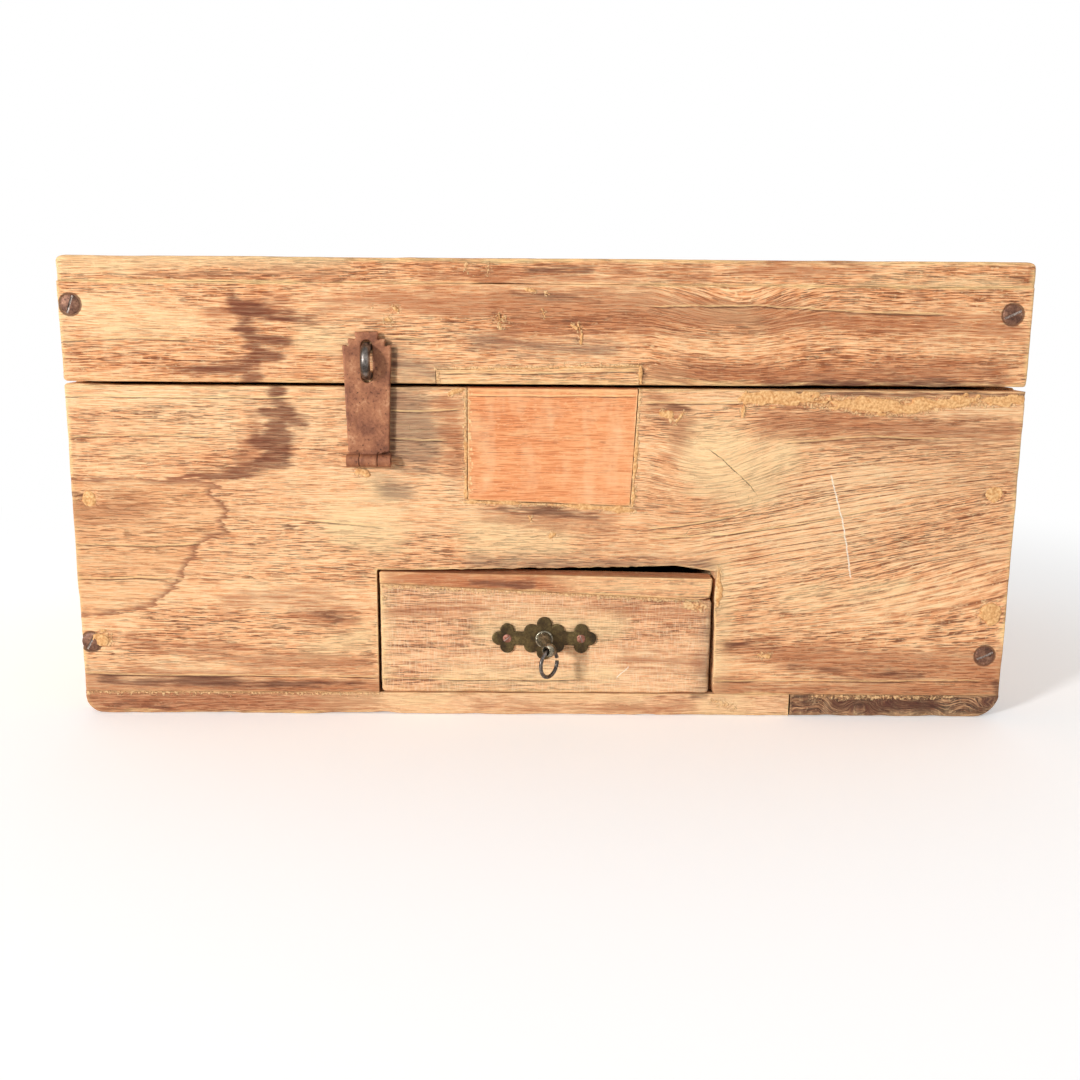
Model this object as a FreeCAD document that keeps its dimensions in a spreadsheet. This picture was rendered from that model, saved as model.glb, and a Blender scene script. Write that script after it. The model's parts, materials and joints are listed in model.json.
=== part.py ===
import FreeCAD, Part
import math
import os
import re
import Sketcher

# Storage chest of reclaimed boards: a box with a deep lid, a hasp, and one drawer in the middle of its foot.
# Origin at the centre of the underside, +X to the right seen from the front, front faces -Y, +Z up.

# Driving dimensions in millimetres.
sizes = {
    # carcass and lid
    "chest_width": 560,
    "chest_depth": 350,
    "base_height": 199.6,
    "seam_gap": 2.0,
    "lid_height": 71.6,
    "front_thickness": 18,
    "back_thickness": 18,
    "side_thickness": 18,
    "bottom_thickness": 14,
    "bottom_joint_place": 151,
    "bottom_joint_gap": 0.6,
    "bottom_left_wear": 8,
    "bottom_right_wear": 12,
    "lid_top_thickness": 14.6,
    "lid_top_joint_place": 22,
    "lid_top_joint_gap": 0.6,
    # let-in repair pieces
    "patch_left": 46,
    "patch_right_top": 53.8,
    "patch_right_foot": 50.4,
    "patch_left_height": 66.2,
    "patch_right_height": 69.4,
    "patch_depth": 8,
    "strip_left": 64,
    "strip_right": 54,
    "strip_left_height": 8,
    "strip_right_height": 10.6,
    "strip_depth": 9,
    "repair_gap": 0.3,
    # drawer and its housing
    "drawer_opening_width": 203,
    "drawer_opening_height": 77,
    "drawer_offset": 1,
    "drawer_side_gap": 1.3,
    "drawer_top_gap": 1.2,
    "drawer_top_fall": 3.4,
    "drawer_run_gap": 0.3,
    "drawer_back_gap": 0.5,
    "drawer_front_thickness": 16,
    "drawer_lip": 6,
    "drawer_wall": 10,
    "drawer_wall_height": 50,
    "drawer_floor": 6,
    "lipping_left_height": 7.4,
    "lipping_right_height": 13.4,
    "guide_thickness": 12,
    "guide_gap": 1,
    "guide_rise": 1,
    "cover_thickness": 12,
    # hasp and staple
    "hasp_place": 103.3,
    "hasp_drop": 42.5,
    "hasp_barrel_radius": 3.7,
    "hasp_barrel_length": 25.6,
    "hasp_middle_length": 10.5,
    "hasp_pin_radius": 1.7,
    "hasp_leaf_half": 11.6,
    "hasp_leaf_margin": 6.5,
    "hasp_leaf_thickness": 1.4,
    "strap_gap": 0.3,
    "strap_thickness": 2,
    "strap_foot_half": 12,
    "strap_foot_rise": 4.5,
    "strap_shoulder_half": 14.1,
    "strap_shoulder_rise": 22,
    "strap_step_half": 10.8,
    "strap_step_rise": 25.8,
    "strap_tip_half": 6.8,
    "strap_tip_rise": 29.7,
    "strap_corner": 0.8,
    "slot_half": 3.6,
    "slot_end_room": 1.4,
    "staple_rise": 12.8,
    "staple_bend_radius": 7.85,
    "staple_wire_radius": 2.8,
    "staple_stand_off": 0.4,
    "staple_hole_gap": 0.1,
    "clench_radius": 4,
    "clench_length": 9,
    "clench_gap": 0.2,
    # back hinges
    "hinge_spacing": 330,
    "hinge_length": 44,
    "hinge_leaf_height": 46,
    "hinge_leaf_thickness": 2,
    "hinge_barrel_radius": 3.5,
    "hinge_middle_length": 18,
    "hinge_pin_radius": 1.6,
    # running clearances shared by both kinds of hinge
    "barrel_gap": 0.3,
    "knuckle_gap": 0.3,
    "pin_gap": 0.08,
    # drawer pull
    "pull_shift": -1,
    "pull_rise": 34.8,
    "plate_thickness": 1.6,
    "plate_centre_lobe_radius": 4.5,
    "plate_centre_lobe_reach": 8.9,
    "plate_end_lobe_radius": 4.2,
    "plate_end_lobe_reach": 5,
    "plate_hole_place": 22.4,
    "plate_arm_half": 4.2,
    "post_collar_radius": 5.5,
    "post_collar_height": 1.6,
    "post_reach": 14.8,
    "post_shift": 2.8,
    "post_drop": 2.3,
    "post_foot_radius": 4.9,
    "post_neck_radius": 3.6,
    "post_eye_radius": 4.4,
    "post_hole_radius": 1.9,
    "post_flare_start": 1.5,
    "post_flare_length": 4.7,
    "post_flare_radius": 4.1,
    "post_tail_radius": 2.5,
    "post_tail_gap": 0.1,
    "post_peen_radius": 3.4,
    "post_peen_height": 1.2,
    "rove_radius": 6,
    "rove_thickness": 1.6,
    "ring_radius": 7.95,
    "ring_wire_radius": 1.15,
    "ring_slack": 0.4,
    "ring_turn": 52,
    # fasteners: head radius, head depth, shank radius, length
    "case_screw_head": 5.8,
    "case_screw_head_depth": 3.4,
    "case_screw_shank": 2.6,
    "case_screw_length": 42,
    "case_screw_sunk": 3,
    "case_screw_set": 0.3,
    "hinge_screw_head": 3.8,
    "hinge_screw_head_depth": 2,
    "hinge_screw_shank": 1.9,
    "hinge_screw_length": 15,
    "leaf_screw_head": 2.9,
    "leaf_screw_head_depth": 1.3,
    "leaf_screw_shank": 1.4,
    "leaf_screw_length": 13,
    "pull_screw_head": 2.6,
    "pull_screw_head_depth": 1.5,
    "pull_screw_shank": 1.3,
    "pull_screw_length": 11,
    "board_nail_head": 2.8,
    "board_nail_head_depth": 1.2,
    "board_nail_shank": 1.5,
    "board_nail_length": 40,
    "board_nail_set": 0.5,
    "fine_nail_head": 1.8,
    "fine_nail_head_depth": 0.8,
    "fine_nail_shank": 0.9,
    "fine_nail_length": 24,
    "fine_nail_set": 0.2,
    "drive_gap": 0.05,
    "cut_overrun": 5,
}

# Places given as shares of the piece that carries them.
case_screw_height_shares = {"left": (0.664, 0.226), "right": (0.697, 0.33, 0.197)}
case_screw_inset_shares = {"left": (0.56, 0.33), "right": (0.75, 0.57, 0.62)}
case_screw_is_filled = {"left": (True, False), "right": (True, True, False)}
lid_screw_height_shares = (0.61, 0.585)
lid_screw_inset_shares = (0.4, 0.65)
back_screw_height_shares = (0.24, 0.7)
long_edge_nail_shares = (-0.46, -0.2, 0.21, 0.45)
short_edge_nail_shares = (-0.27, 0.24)
front_nail_free_share = 0.3
wall_nail_height_shares = (0.25, 0.75)
hinge_screw_across_shares = (-0.28, 0.28)
hinge_screw_height_share = 0.62
leaf_screw_across_shares = (-0.5, 0.5, 0)
leaf_screw_height_shares = (0.84, 0.84, 0.42)
screw_slot_width_share = 0.26
screw_slot_depth_share = 0.4
nail_head_foot_share = 0.9

doc = FreeCAD.newDocument("storage_chest")
sheet = doc.addObject("Spreadsheet::Sheet", "Sizes")
for row, (alias, value) in enumerate(sizes.items(), 1):
    sheet.set("A%d" % row, alias)
    sheet.set("B%d" % row, str(value))
    sheet.setAlias("B%d" % row, alias)
doc.recompute()

sub_parts = []


def formula(text):
    # Words that name a size become references to the sheet.
    def refer(word):
        return "Sizes." + word.group() if word.group() in sizes else word.group()

    return re.sub(r"[a-z][a-z_]*[a-z]", refer, text)


def bind(thing, prop, text):
    thing.setExpression(prop, formula(text))


def place(thing, spot, turn=None):
    if turn is not None:
        thing.Placement = FreeCAD.Placement(FreeCAD.Vector(), turn)
    for axis, text in zip("xyz", spot):
        bind(thing, "Placement.Base." + axis, text)
    return thing


def keep(thing, label):
    # A finished sub-part of the chest, written to its own file.
    thing.Label = label
    sub_parts.append(thing)
    return thing


def box(name, x_span, y_span, z_span):
    thing = doc.addObject("Part::Box", name)
    for prop, (low, high) in zip(("Length", "Width", "Height"), (x_span, y_span, z_span)):
        bind(thing, prop, "(%s) - (%s)" % (high, low))
    return place(thing, (x_span[0], y_span[0], z_span[0]))


def cylinder(name, radius, height, spot, turn=None):
    thing = doc.addObject("Part::Cylinder", name)
    bind(thing, "Radius", radius)
    bind(thing, "Height", height)
    return place(thing, spot, turn)


def cone(name, low_radius, high_radius, height, spot, turn=None):
    thing = doc.addObject("Part::Cone", name)
    bind(thing, "Radius1", low_radius)
    bind(thing, "Radius2", high_radius)
    bind(thing, "Height", height)
    return place(thing, spot, turn)


def torus(name, radius, wire, angle, spot, turn=None):
    thing = doc.addObject("Part::Torus", name)
    bind(thing, "Radius1", radius)
    bind(thing, "Radius2", wire)
    thing.Angle3 = angle
    return place(thing, spot, turn)


def group(name, things):
    thing = doc.addObject("Part::Compound", name)
    thing.Links = things
    return thing


def fuse(name, things):
    thing = doc.addObject("Part::MultiFuse", name)
    thing.Shapes = things
    return thing


def cut(name, base, tools):
    thing = doc.addObject("Part::Cut", name)
    thing.Base = base
    thing.Tool = tools[0] if len(tools) == 1 else group(name + "_tools", tools)
    return thing


def board(label, x_span, y_span, z_span, tools=()):
    thing = box(label + "_blank", x_span, y_span, z_span)
    if tools:
        thing = cut(label + "_cut", thing, list(tools))
    return keep(thing, label)


def sketch_outline(body, points):
    # A closed outline in the body's XZ plane, each corner held by two dimensions.
    sketch = body.newObject("Sketcher::SketchObject", body.Name + "_outline")
    plane = [feature for feature in body.Origin.OriginFeatures if feature.Role == "XZ_Plane"][0]
    sketch.AttachmentSupport = [(plane, "")]
    sketch.MapMode = "FlatFace"
    values = [[sheet_value(text) for text in point] for point in points]
    corners = [FreeCAD.Vector(across, up, 0) for across, up in values]
    count = len(corners)
    for here in range(count):
        sketch.addGeometry(Part.LineSegment(corners[here], corners[(here + 1) % count]), False)
    for here in range(count):
        sketch.addConstraint(Sketcher.Constraint("Coincident", here, 2, (here + 1) % count, 1))
    for here in range(count):
        for kind, value, text in zip(("DistanceX", "DistanceY"), values[here], points[here]):
            index = sketch.addConstraint(Sketcher.Constraint(kind, -1, 1, here, 1, value))
            bind(sketch, "Constraints[%d]" % index, text)
    return sketch


def sheet_value(text):
    # The present value of a formula, for a sketch's first drawing.
    return float(sheet.evalExpression(formula(text)))


def plate(name, points, front_face, thickness):
    # An outline seen from the front, padded back from its front face.
    body = doc.addObject("PartDesign::Body", name)
    sketch = sketch_outline(body, points)
    pad = body.newObject("PartDesign::Pad", name + "_pad")
    pad.Profile = sketch
    pad.Reversed = True
    bind(pad, "Length", thickness)
    place(body, ("0", front_face, "0"))
    return body


towards = {
    "front": FreeCAD.Vector(0, -1, 0),
    "back": FreeCAD.Vector(0, 1, 0),
    "left": FreeCAD.Vector(-1, 0, 0),
    "right": FreeCAD.Vector(1, 0, 0),
    "up": FreeCAD.Vector(0, 0, 1),
    "down": FreeCAD.Vector(0, 0, -1),
}
upright = FreeCAD.Vector(0, 0, 1)
along_x = FreeCAD.Rotation(upright, towards["right"])


def fastener(kind, name, spot, facing, sunk="0", slot_angle=None):
    # A countersunk screw or a nail, and the hole that takes it: head outwards at the spot, shank inwards.
    turn = FreeCAD.Rotation(upright, towards[facing])
    if slot_angle is not None:
        turn = turn.multiply(FreeCAD.Rotation(upright, slot_angle))
    head = kind + "_head"
    depth = kind + "_head_depth"
    shank = kind + "_shank"
    shank_length = "%s_length - %s" % (kind, depth)
    foot = shank if slot_angle is not None else "%s * %s" % (head, nail_head_foot_share)
    solid = fuse(name + "_body", [
        cone(name + "_head", foot, head, depth, ("0", "0", "-" + depth)),
        cylinder(name + "_shank", shank, shank_length, ("0", "0", "-%s_length" % kind)),
    ])
    if slot_angle is not None:
        half = "%s * %s" % (head, screw_slot_width_share / 2)
        slot_floor = "-%s * %s" % (depth, screw_slot_depth_share)
        slot = box(name + "_slot", ("-" + head, head), ("-" + half, half), (slot_floor, "cut_overrun"))
        solid = cut(name + "_slotted", solid, [slot])
    hole = fuse(name + "_hole", [
        cone(name + "_sink", foot + " + drive_gap", head + " + drive_gap", depth, ("0", "0", "-" + depth)),
        cylinder(name + "_bore", shank + " + drive_gap", shank_length + " + drive_gap",
                 ("0", "0", "-%s_length - drive_gap" % kind)),
        cylinder(name + "_mouth", head + " + drive_gap", sunk + " + cut_overrun", ("0", "0", "0")),
    ])
    inward = towards[facing] * -1
    seat = ["%s + (%s) * (%d)" % (text, sunk, step) for text, step in zip(spot, inward)]
    place(solid, seat, turn)
    place(hole, seat, turn)
    return solid, hole


def fasteners(label, kind, spots_by_facing, sunk="0", slot_angles=None):
    # A set of like fasteners as one sub-part, and their holes.
    pairs = []
    for facing, spots in spots_by_facing.items():
        for spot in spots:
            angle = slot_angles[len(pairs)] if slot_angles else None
            name = "%s_%d" % (label, len(pairs))
            pairs.append(fastener(kind, name, spot, facing, sunk, angle))
    keep(group(label + "_set", [solid for solid, hole in pairs]), label)
    return [hole for solid, hole in pairs]


# Shared faces and levels.
left = "(-chest_width / 2)"
right = "(chest_width / 2)"
front = "(-chest_depth / 2)"
back = "(chest_depth / 2)"
front_inside = "(%s + front_thickness)" % front
back_inside = "(%s - back_thickness)" % back
left_inside = "(%s + side_thickness)" % left
right_inside = "(%s - side_thickness)" % right
lid_foot = "(base_height + seam_gap)"
lid_head = "(base_height + seam_gap + lid_height)"
rail_head = "(%s - lid_top_thickness)" % lid_head
past_front = "(%s - cut_overrun)" % front
outer = {"left": left, "right": right}
inwards = {"left": "+", "right": "-"}


# Screws that hold the front and back boards to the sides
def edge_spot(side, inset_share, face, height):
    across = "%s %s side_thickness * %s" % (outer[side], inwards[side], inset_share)
    return across, face, height


shown_spots = []
filled_spots = []
for side, shares in case_screw_height_shares.items():
    for height_share, inset_share, is_filled in zip(
            shares, case_screw_inset_shares[side], case_screw_is_filled[side]):
        spot = edge_spot(side, inset_share, front, "base_height * %s" % height_share)
        (filled_spots if is_filled else shown_spots).append(spot)

front_holes = fasteners("base_front_screws", "case_screw", {"front": shown_spots}, "case_screw_set", (35, 80))
front_holes += fasteners(
    "filled_front_screws", "case_screw", {"front": filled_spots}, "case_screw_sunk", (0, 60, 15))
plugs = []
for number, (across, face, height) in enumerate(filled_spots):
    plug = cylinder("putty_%d" % number, "case_screw_head", "case_screw_sunk", (across, face, height),
                    FreeCAD.Rotation(upright, towards["back"]))
    plugs.append(plug)
keep(group("putty_set", plugs), "putty_plugs")

back_spots = []
for side in outer:
    for height_share in back_screw_height_shares:
        back_spots.append(edge_spot(side, 1 / 2, back, "base_height * %s" % height_share))
back_holes = fasteners(
    "base_back_screws", "case_screw", {"back": back_spots}, "case_screw_set", (10, 75, 40, 95))

# Hasp: a leaf on the front board, the strap that swings on it, and their pin
hasp_x = "(-hasp_place)"
hasp_axis_y = "(%s - barrel_gap - hasp_barrel_radius)" % front
hasp_z = "(base_height - hasp_drop)"
hasp_axis = (hasp_x, hasp_axis_y, hasp_z)
leaf_face = "(%s - hasp_leaf_thickness)" % front
strap_back = "(%s - strap_gap)" % leaf_face
strap_face = "(%s - strap_thickness)" % strap_back
hasp_barrel_left = "(%s - hasp_barrel_length / 2)" % hasp_x
hasp_barrel_right = "(%s + hasp_barrel_length / 2)" % hasp_x
hasp_middle_left = "(%s - hasp_middle_length / 2)" % hasp_x
hasp_middle_right = "(%s + hasp_middle_length / 2)" % hasp_x
leaf_foot = "(%s + hasp_barrel_radius + barrel_gap)" % hasp_z
leaf_head = "(base_height - hasp_leaf_margin)"
staple_z = "(%s + staple_rise)" % lid_foot

leaf_spots = []
for across_share, height_share in zip(leaf_screw_across_shares, leaf_screw_height_shares):
    across = "%s + hasp_leaf_half * %s" % (hasp_x, across_share)
    leaf_spots.append((across, leaf_face, "%s + (%s - %s) * %s" % (hasp_z, leaf_head, hasp_z, height_share)))
leaf_holes = fasteners("hasp_leaf_screws", "leaf_screw", {"front": leaf_spots}, "0", (20, 110, 65))


def knuckle(name, radius, x_low, x_high, axis):
    return cylinder(name, radius, "(%s) - (%s)" % (x_high, x_low), (x_low, axis[1], axis[2]), along_x)


def bore(name, radius, x_low, x_high, axis):
    return knuckle(name, radius + " + pin_gap", "%s - cut_overrun" % x_low, "%s + cut_overrun" % x_high, axis)


hasp_end_spans = [
    (hasp_barrel_left, "%s - knuckle_gap" % hasp_middle_left),
    ("%s + knuckle_gap" % hasp_middle_right, hasp_barrel_right),
]
leaf_pieces = [box(
    "hasp_leaf_plate",
    ("%s - hasp_leaf_half" % hasp_x, "%s + hasp_leaf_half" % hasp_x),
    (leaf_face, front),
    (leaf_foot, leaf_head),
)]
for number, (x_low, x_high) in enumerate(hasp_end_spans):
    leaf_pieces.append(box("hasp_leaf_tab_%d" % number, (x_low, x_high), (leaf_face, front),
                           (hasp_z, leaf_foot)))
    leaf_pieces.append(knuckle("hasp_leaf_knuckle_%d" % number, "hasp_barrel_radius", x_low, x_high, hasp_axis))
hasp_bore = bore("hasp_bore", "hasp_pin_radius", hasp_barrel_left, hasp_barrel_right, hasp_axis)
keep(cut("hasp_leaf_cut", fuse("hasp_leaf_fused", leaf_pieces), [hasp_bore] + leaf_holes), "hasp_leaf")
keep(knuckle("hasp_pin_rod", "hasp_pin_radius", hasp_barrel_left, hasp_barrel_right, hasp_axis), "hasp_pin")

# Half of the strap's outline from its foot to its stepped tip, as (half width, level)
strap_foot = "(%s + strap_foot_rise)" % hasp_z
shoulder_level = "(%s + strap_shoulder_rise)" % lid_foot
step_level = "(%s + strap_step_rise)" % lid_foot
tip_level = "(%s + strap_tip_rise)" % lid_foot
strap_half_outline = [
    ("strap_foot_half", strap_foot),
    ("strap_shoulder_half", "%s - strap_corner" % shoulder_level),
    ("strap_shoulder_half - strap_corner", shoulder_level),
    ("strap_step_half", shoulder_level),
    ("strap_step_half", "%s - strap_corner" % step_level),
    ("strap_step_half - strap_corner", step_level),
    ("strap_tip_half", step_level),
    ("strap_tip_half", "%s - strap_corner" % tip_level),
    ("strap_tip_half - strap_corner", tip_level),
]
strap_points = []
for half, level in strap_half_outline:
    strap_points.append(("%s + %s" % (hasp_x, half), level))
for half, level in reversed(strap_half_outline):
    strap_points.append(("%s - (%s)" % (hasp_x, half), level))
strap_pieces = [
    plate("hasp_strap_plate", strap_points, strap_face, "strap_thickness"),
    box("hasp_strap_tongue", (hasp_middle_left, hasp_middle_right), (strap_face, strap_back),
        (hasp_z, strap_foot)),
    knuckle("hasp_strap_knuckle", "hasp_barrel_radius", hasp_middle_left, hasp_middle_right, hasp_axis),
]
slot_reach = "(staple_bend_radius + staple_wire_radius + slot_end_room - slot_half)"
slot_y = "(%s - cut_overrun)" % strap_face
slot_depth = "strap_thickness + cut_overrun + strap_gap"
backwards = FreeCAD.Rotation(upright, towards["back"])
slot_pieces = [box(
    "slot_middle",
    ("%s - slot_half" % hasp_x, "%s + slot_half" % hasp_x),
    (slot_y, "%s + %s" % (slot_y, slot_depth)),
    ("%s - %s" % (staple_z, slot_reach), "%s + %s" % (staple_z, slot_reach)),
)]
for name, sign in (("slot_foot", "-"), ("slot_head", "+")):
    spot = (hasp_x, slot_y, "%s %s %s" % (staple_z, sign, slot_reach))
    slot_pieces.append(cylinder(name, "slot_half", slot_depth, spot, backwards))
strap_tools = [
    fuse("slot", slot_pieces),
    bore("strap_bore", "hasp_pin_radius", hasp_barrel_left, hasp_barrel_right, hasp_axis),
]
keep(cut("hasp_strap_cut", fuse("hasp_strap_fused", strap_pieces), strap_tools), "hasp_strap")

# Staple through the lid's front rail, clenched inside: the padlock goes through its eye
bight_y = "(%s - staple_stand_off)" % strap_face
clench_y = "(%s + clench_gap)" % front_inside
bight_turn = FreeCAD.Rotation(upright, towards["front"], towards["right"], "XYZ")
staple_pieces = [torus("staple_bight", "staple_bend_radius", "staple_wire_radius", 180,
                       (hasp_x, bight_y, staple_z), bight_turn)]
staple_holes = []
for name, sign, way, start_angle in (("foot", "-", "left", 0), ("head", "+", "right", 90)):
    level = "%s %s staple_bend_radius" % (staple_z, sign)
    side_step = "%s %s clench_radius" % (hasp_x, "-" if way == "left" else "+")
    staple_pieces.append(cylinder(
        "staple_leg_" + name, "staple_wire_radius", "%s - (%s)" % (clench_y, bight_y),
        (hasp_x, bight_y, level), backwards))
    staple_pieces.append(torus(
        "staple_turn_" + name, "clench_radius", "staple_wire_radius", 90,
        (side_step, clench_y, level), FreeCAD.Rotation(upright, start_angle)))
    staple_pieces.append(cylinder(
        "staple_end_" + name, "staple_wire_radius", "clench_length",
        (side_step, "%s + clench_radius" % clench_y, level), FreeCAD.Rotation(upright, towards[way])))
    staple_holes.append(cylinder(
        "staple_hole_" + name, "staple_wire_radius + staple_hole_gap", "front_thickness + 2 * cut_overrun",
        (hasp_x, past_front, level), backwards))
keep(fuse("hasp_staple_fused", staple_pieces), "hasp_staple")

# Back hinges: two leaves and a pin each, screwed to the back of the base and of the lid
hinge_y = "(%s + barrel_gap + hinge_barrel_radius)" % back
hinge_z = "(base_height + seam_gap / 2)"
hinge_face = "(%s + hinge_leaf_thickness)" % back
hinge_places = {"left": "(-hinge_spacing / 2)", "right": "(hinge_spacing / 2)"}
hinge_spots = {"base": [], "lid": []}
for centre in hinge_places.values():
    for share in hinge_screw_across_shares:
        across = "%s + hinge_length * %s" % (centre, share)
        reach = "hinge_leaf_height * %s" % hinge_screw_height_share
        hinge_spots["base"].append((across, hinge_face, "%s - %s" % (hinge_z, reach)))
        hinge_spots["lid"].append((across, hinge_face, "%s + %s" % (hinge_z, reach)))
hinge_holes = {}
for owner, angles in (("base", (15, 80, 130, 50)), ("lid", (100, 5, 60, 150))):
    label = "hinge_%s_screws" % owner
    hinge_holes[owner] = fasteners(label, "hinge_screw", {"back": hinge_spots[owner]}, "0", angles)

for side, centre in hinge_places.items():
    axis = (centre, hinge_y, hinge_z)
    barrel_left = "(%s - hinge_length / 2)" % centre
    barrel_right = "(%s + hinge_length / 2)" % centre
    middle_left = "(%s - hinge_middle_length / 2)" % centre
    middle_right = "(%s + hinge_middle_length / 2)" % centre
    spans = {
        "base": [(barrel_left, "%s - knuckle_gap" % middle_left), ("%s + knuckle_gap" % middle_right, barrel_right)],
        "lid": [(middle_left, middle_right)],
    }
    clear = "hinge_barrel_radius + barrel_gap"
    levels = {
        "base": ("%s - hinge_leaf_height" % hinge_z, "%s - (%s)" % (hinge_z, clear)),
        "lid": ("%s + %s" % (hinge_z, clear), "%s + hinge_leaf_height" % hinge_z),
    }
    tabs = {"base": (levels["base"][1], hinge_z), "lid": (hinge_z, levels["lid"][0])}
    for owner in ("base", "lid"):
        label = "hinge_%s_%s_leaf" % (side, owner)
        pieces = [box(label + "_plate", (barrel_left, barrel_right), (back, hinge_face), levels[owner])]
        for number, (x_low, x_high) in enumerate(spans[owner]):
            pieces.append(box("%s_tab_%d" % (label, number), (x_low, x_high), (back, hinge_face), tabs[owner]))
            pieces.append(knuckle("%s_knuckle_%d" % (label, number), "hinge_barrel_radius", x_low, x_high, axis))
        tools = [bore(label + "_bore", "hinge_pin_radius", barrel_left, barrel_right, axis)] + hinge_holes[owner]
        keep(cut(label + "_cut", fuse(label + "_fused", pieces), tools), label)
    keep(knuckle("hinge_%s_rod" % side, "hinge_pin_radius", barrel_left, barrel_right, axis), "hinge_%s_pin" % side)


# Repair pieces let into the front board and the lid's edge: the recess is the piece with a gap round it
def patch_outline(gap):
    return [
        ("-patch_left - (%s)" % gap, "base_height - patch_left_height - (%s)" % gap),
        ("patch_right_foot + (%s)" % gap, "base_height - patch_right_height - (%s)" % gap),
        ("patch_right_top + (%s)" % gap, "base_height"),
        ("-patch_left - (%s)" % gap, "base_height"),
    ]


def strip_outline(gap):
    return [
        ("-strip_left - (%s)" % gap, lid_foot),
        ("strip_right + (%s)" % gap, lid_foot),
        ("strip_right + (%s)" % gap, "%s + strip_right_height + %s" % (lid_foot, gap)),
        ("-strip_left - (%s)" % gap, "%s + strip_left_height + %s" % (lid_foot, gap)),
    ]


keep(plate("front_patch_block", patch_outline("0"), front, "patch_depth"), "front_patch")
keep(plate("lid_edge_patch_strip", strip_outline("0"), front, "strip_depth"), "lid_edge_patch")
patch_recess = plate("patch_recess", patch_outline("repair_gap"), front, "patch_depth")
strip_recess = plate("strip_recess", strip_outline("repair_gap"), front, "strip_depth")

# Base boards
opening_left = "(drawer_offset - drawer_opening_width / 2)"
opening_right = "(drawer_offset + drawer_opening_width / 2)"
opening_head = "(bottom_thickness + drawer_opening_height)"
wall_span = ("bottom_thickness", "base_height")
drawer_opening = box("drawer_opening", (opening_left, opening_right),
                     (past_front, "%s + cut_overrun" % front_inside), ("bottom_thickness - cut_overrun", opening_head))

# Nails driven up through the bottom into the walls and the drawer's guides
drawer_half = "(drawer_opening_width / 2 - drawer_side_gap)"
drawer_left = "(drawer_offset - %s)" % drawer_half
drawer_right = "(drawer_offset + %s)" % drawer_half
guide_left_inside = "(%s - guide_gap)" % drawer_left
guide_right_inside = "(%s + guide_gap)" % drawer_right
guide_spans = {
    "left": ("(%s - guide_thickness)" % guide_left_inside, guide_left_inside),
    "right": (guide_right_inside, "(%s + guide_thickness)" % guide_right_inside),
}
guide_middles = {side: "(%s + %s) / 2" % span for side, span in guide_spans.items()}
foot_spots = []
for share in long_edge_nail_shares:
    foot_spots.append(("chest_width * %s" % share, "%s - back_thickness / 2" % back, "0"))
    if abs(share) > front_nail_free_share:  # the drawer's opening takes the wall's foot away nearer the middle
        foot_spots.append(("chest_width * %s" % share, "%s + front_thickness / 2" % front, "0"))
for share in short_edge_nail_shares:
    foot_spots.append(("%s + side_thickness / 2" % left, "chest_depth * %s" % share, "0"))
    foot_spots.append(("%s - side_thickness / 2" % right, "chest_depth * %s" % share, "0"))
    for middle in guide_middles.values():
        foot_spots.append((middle, "chest_depth * %s" % share, "0"))
foot_holes = fasteners("bottom_nails", "board_nail", {"down": foot_spots}, "board_nail_set")

board("base_front_board", (left, right), (front, front_inside), wall_span,
      [drawer_opening, patch_recess] + front_holes + leaf_holes + foot_holes)
board("base_back_board", (left, right), (back_inside, back), wall_span,
      back_holes + hinge_holes["base"] + foot_holes)
board("base_left_side", (left, left_inside), (front_inside, back_inside), wall_span,
      front_holes + back_holes + foot_holes)
board("base_right_side", (right_inside, right), (front_inside, back_inside), wall_span,
      front_holes + back_holes + foot_holes)


# Bottom of two boards, with the lower corners at the chest's ends worn round
def worn_board(label, x_span, radius, worn_way, tools):
    low, high = x_span
    outline = [(low, "0"), (high, "0"), (high, "bottom_thickness"), (low, "bottom_thickness")]
    body = plate(label + "_blank", outline, front, "chest_depth")
    doc.recompute()
    pad = body.Tip
    runs = []
    for number, edge in enumerate(pad.Shape.Edges, 1):
        if edge.BoundBox.YLength > edge.BoundBox.XLength + edge.BoundBox.ZLength:
            centre = edge.CenterOfMass
            runs.append((centre.z - worn_way.x * centre.x, number))
    fillet = body.newObject("PartDesign::Fillet", label + "_wear")
    fillet.Base = (pad, ["Edge%d" % min(runs)[1]])
    bind(fillet, "Radius", radius)
    body.Tip = fillet
    return keep(cut(label + "_cut", body, tools), label)


worn_board("bottom_board_main", (left, "bottom_joint_place - bottom_joint_gap / 2"), "bottom_left_wear",
           towards["left"], foot_holes)
worn_board("bottom_board_end", ("bottom_joint_place + bottom_joint_gap / 2", right), "bottom_right_wear",
           towards["right"], foot_holes)

# Drawer housing: a guide on each side and a cover over them
guide_head = "(%s + guide_rise)" % opening_head
cover_head = "(%s + cover_thickness)" % guide_head
cover_spots = []
for share in short_edge_nail_shares:
    for middle in guide_middles.values():
        cover_spots.append((middle, "chest_depth * %s" % share, cover_head))
cover_holes = fasteners("cover_nails", "fine_nail", {"up": cover_spots}, "fine_nail_set")
for side, span in guide_spans.items():
    board("drawer_guide_" + side, span, (front_inside, back_inside), ("bottom_thickness", guide_head),
          foot_holes + cover_holes)
board("drawer_cover_board", (guide_spans["left"][0], guide_spans["right"][1]), (front_inside, back_inside),
      (guide_head, cover_head), cover_holes)

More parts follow.
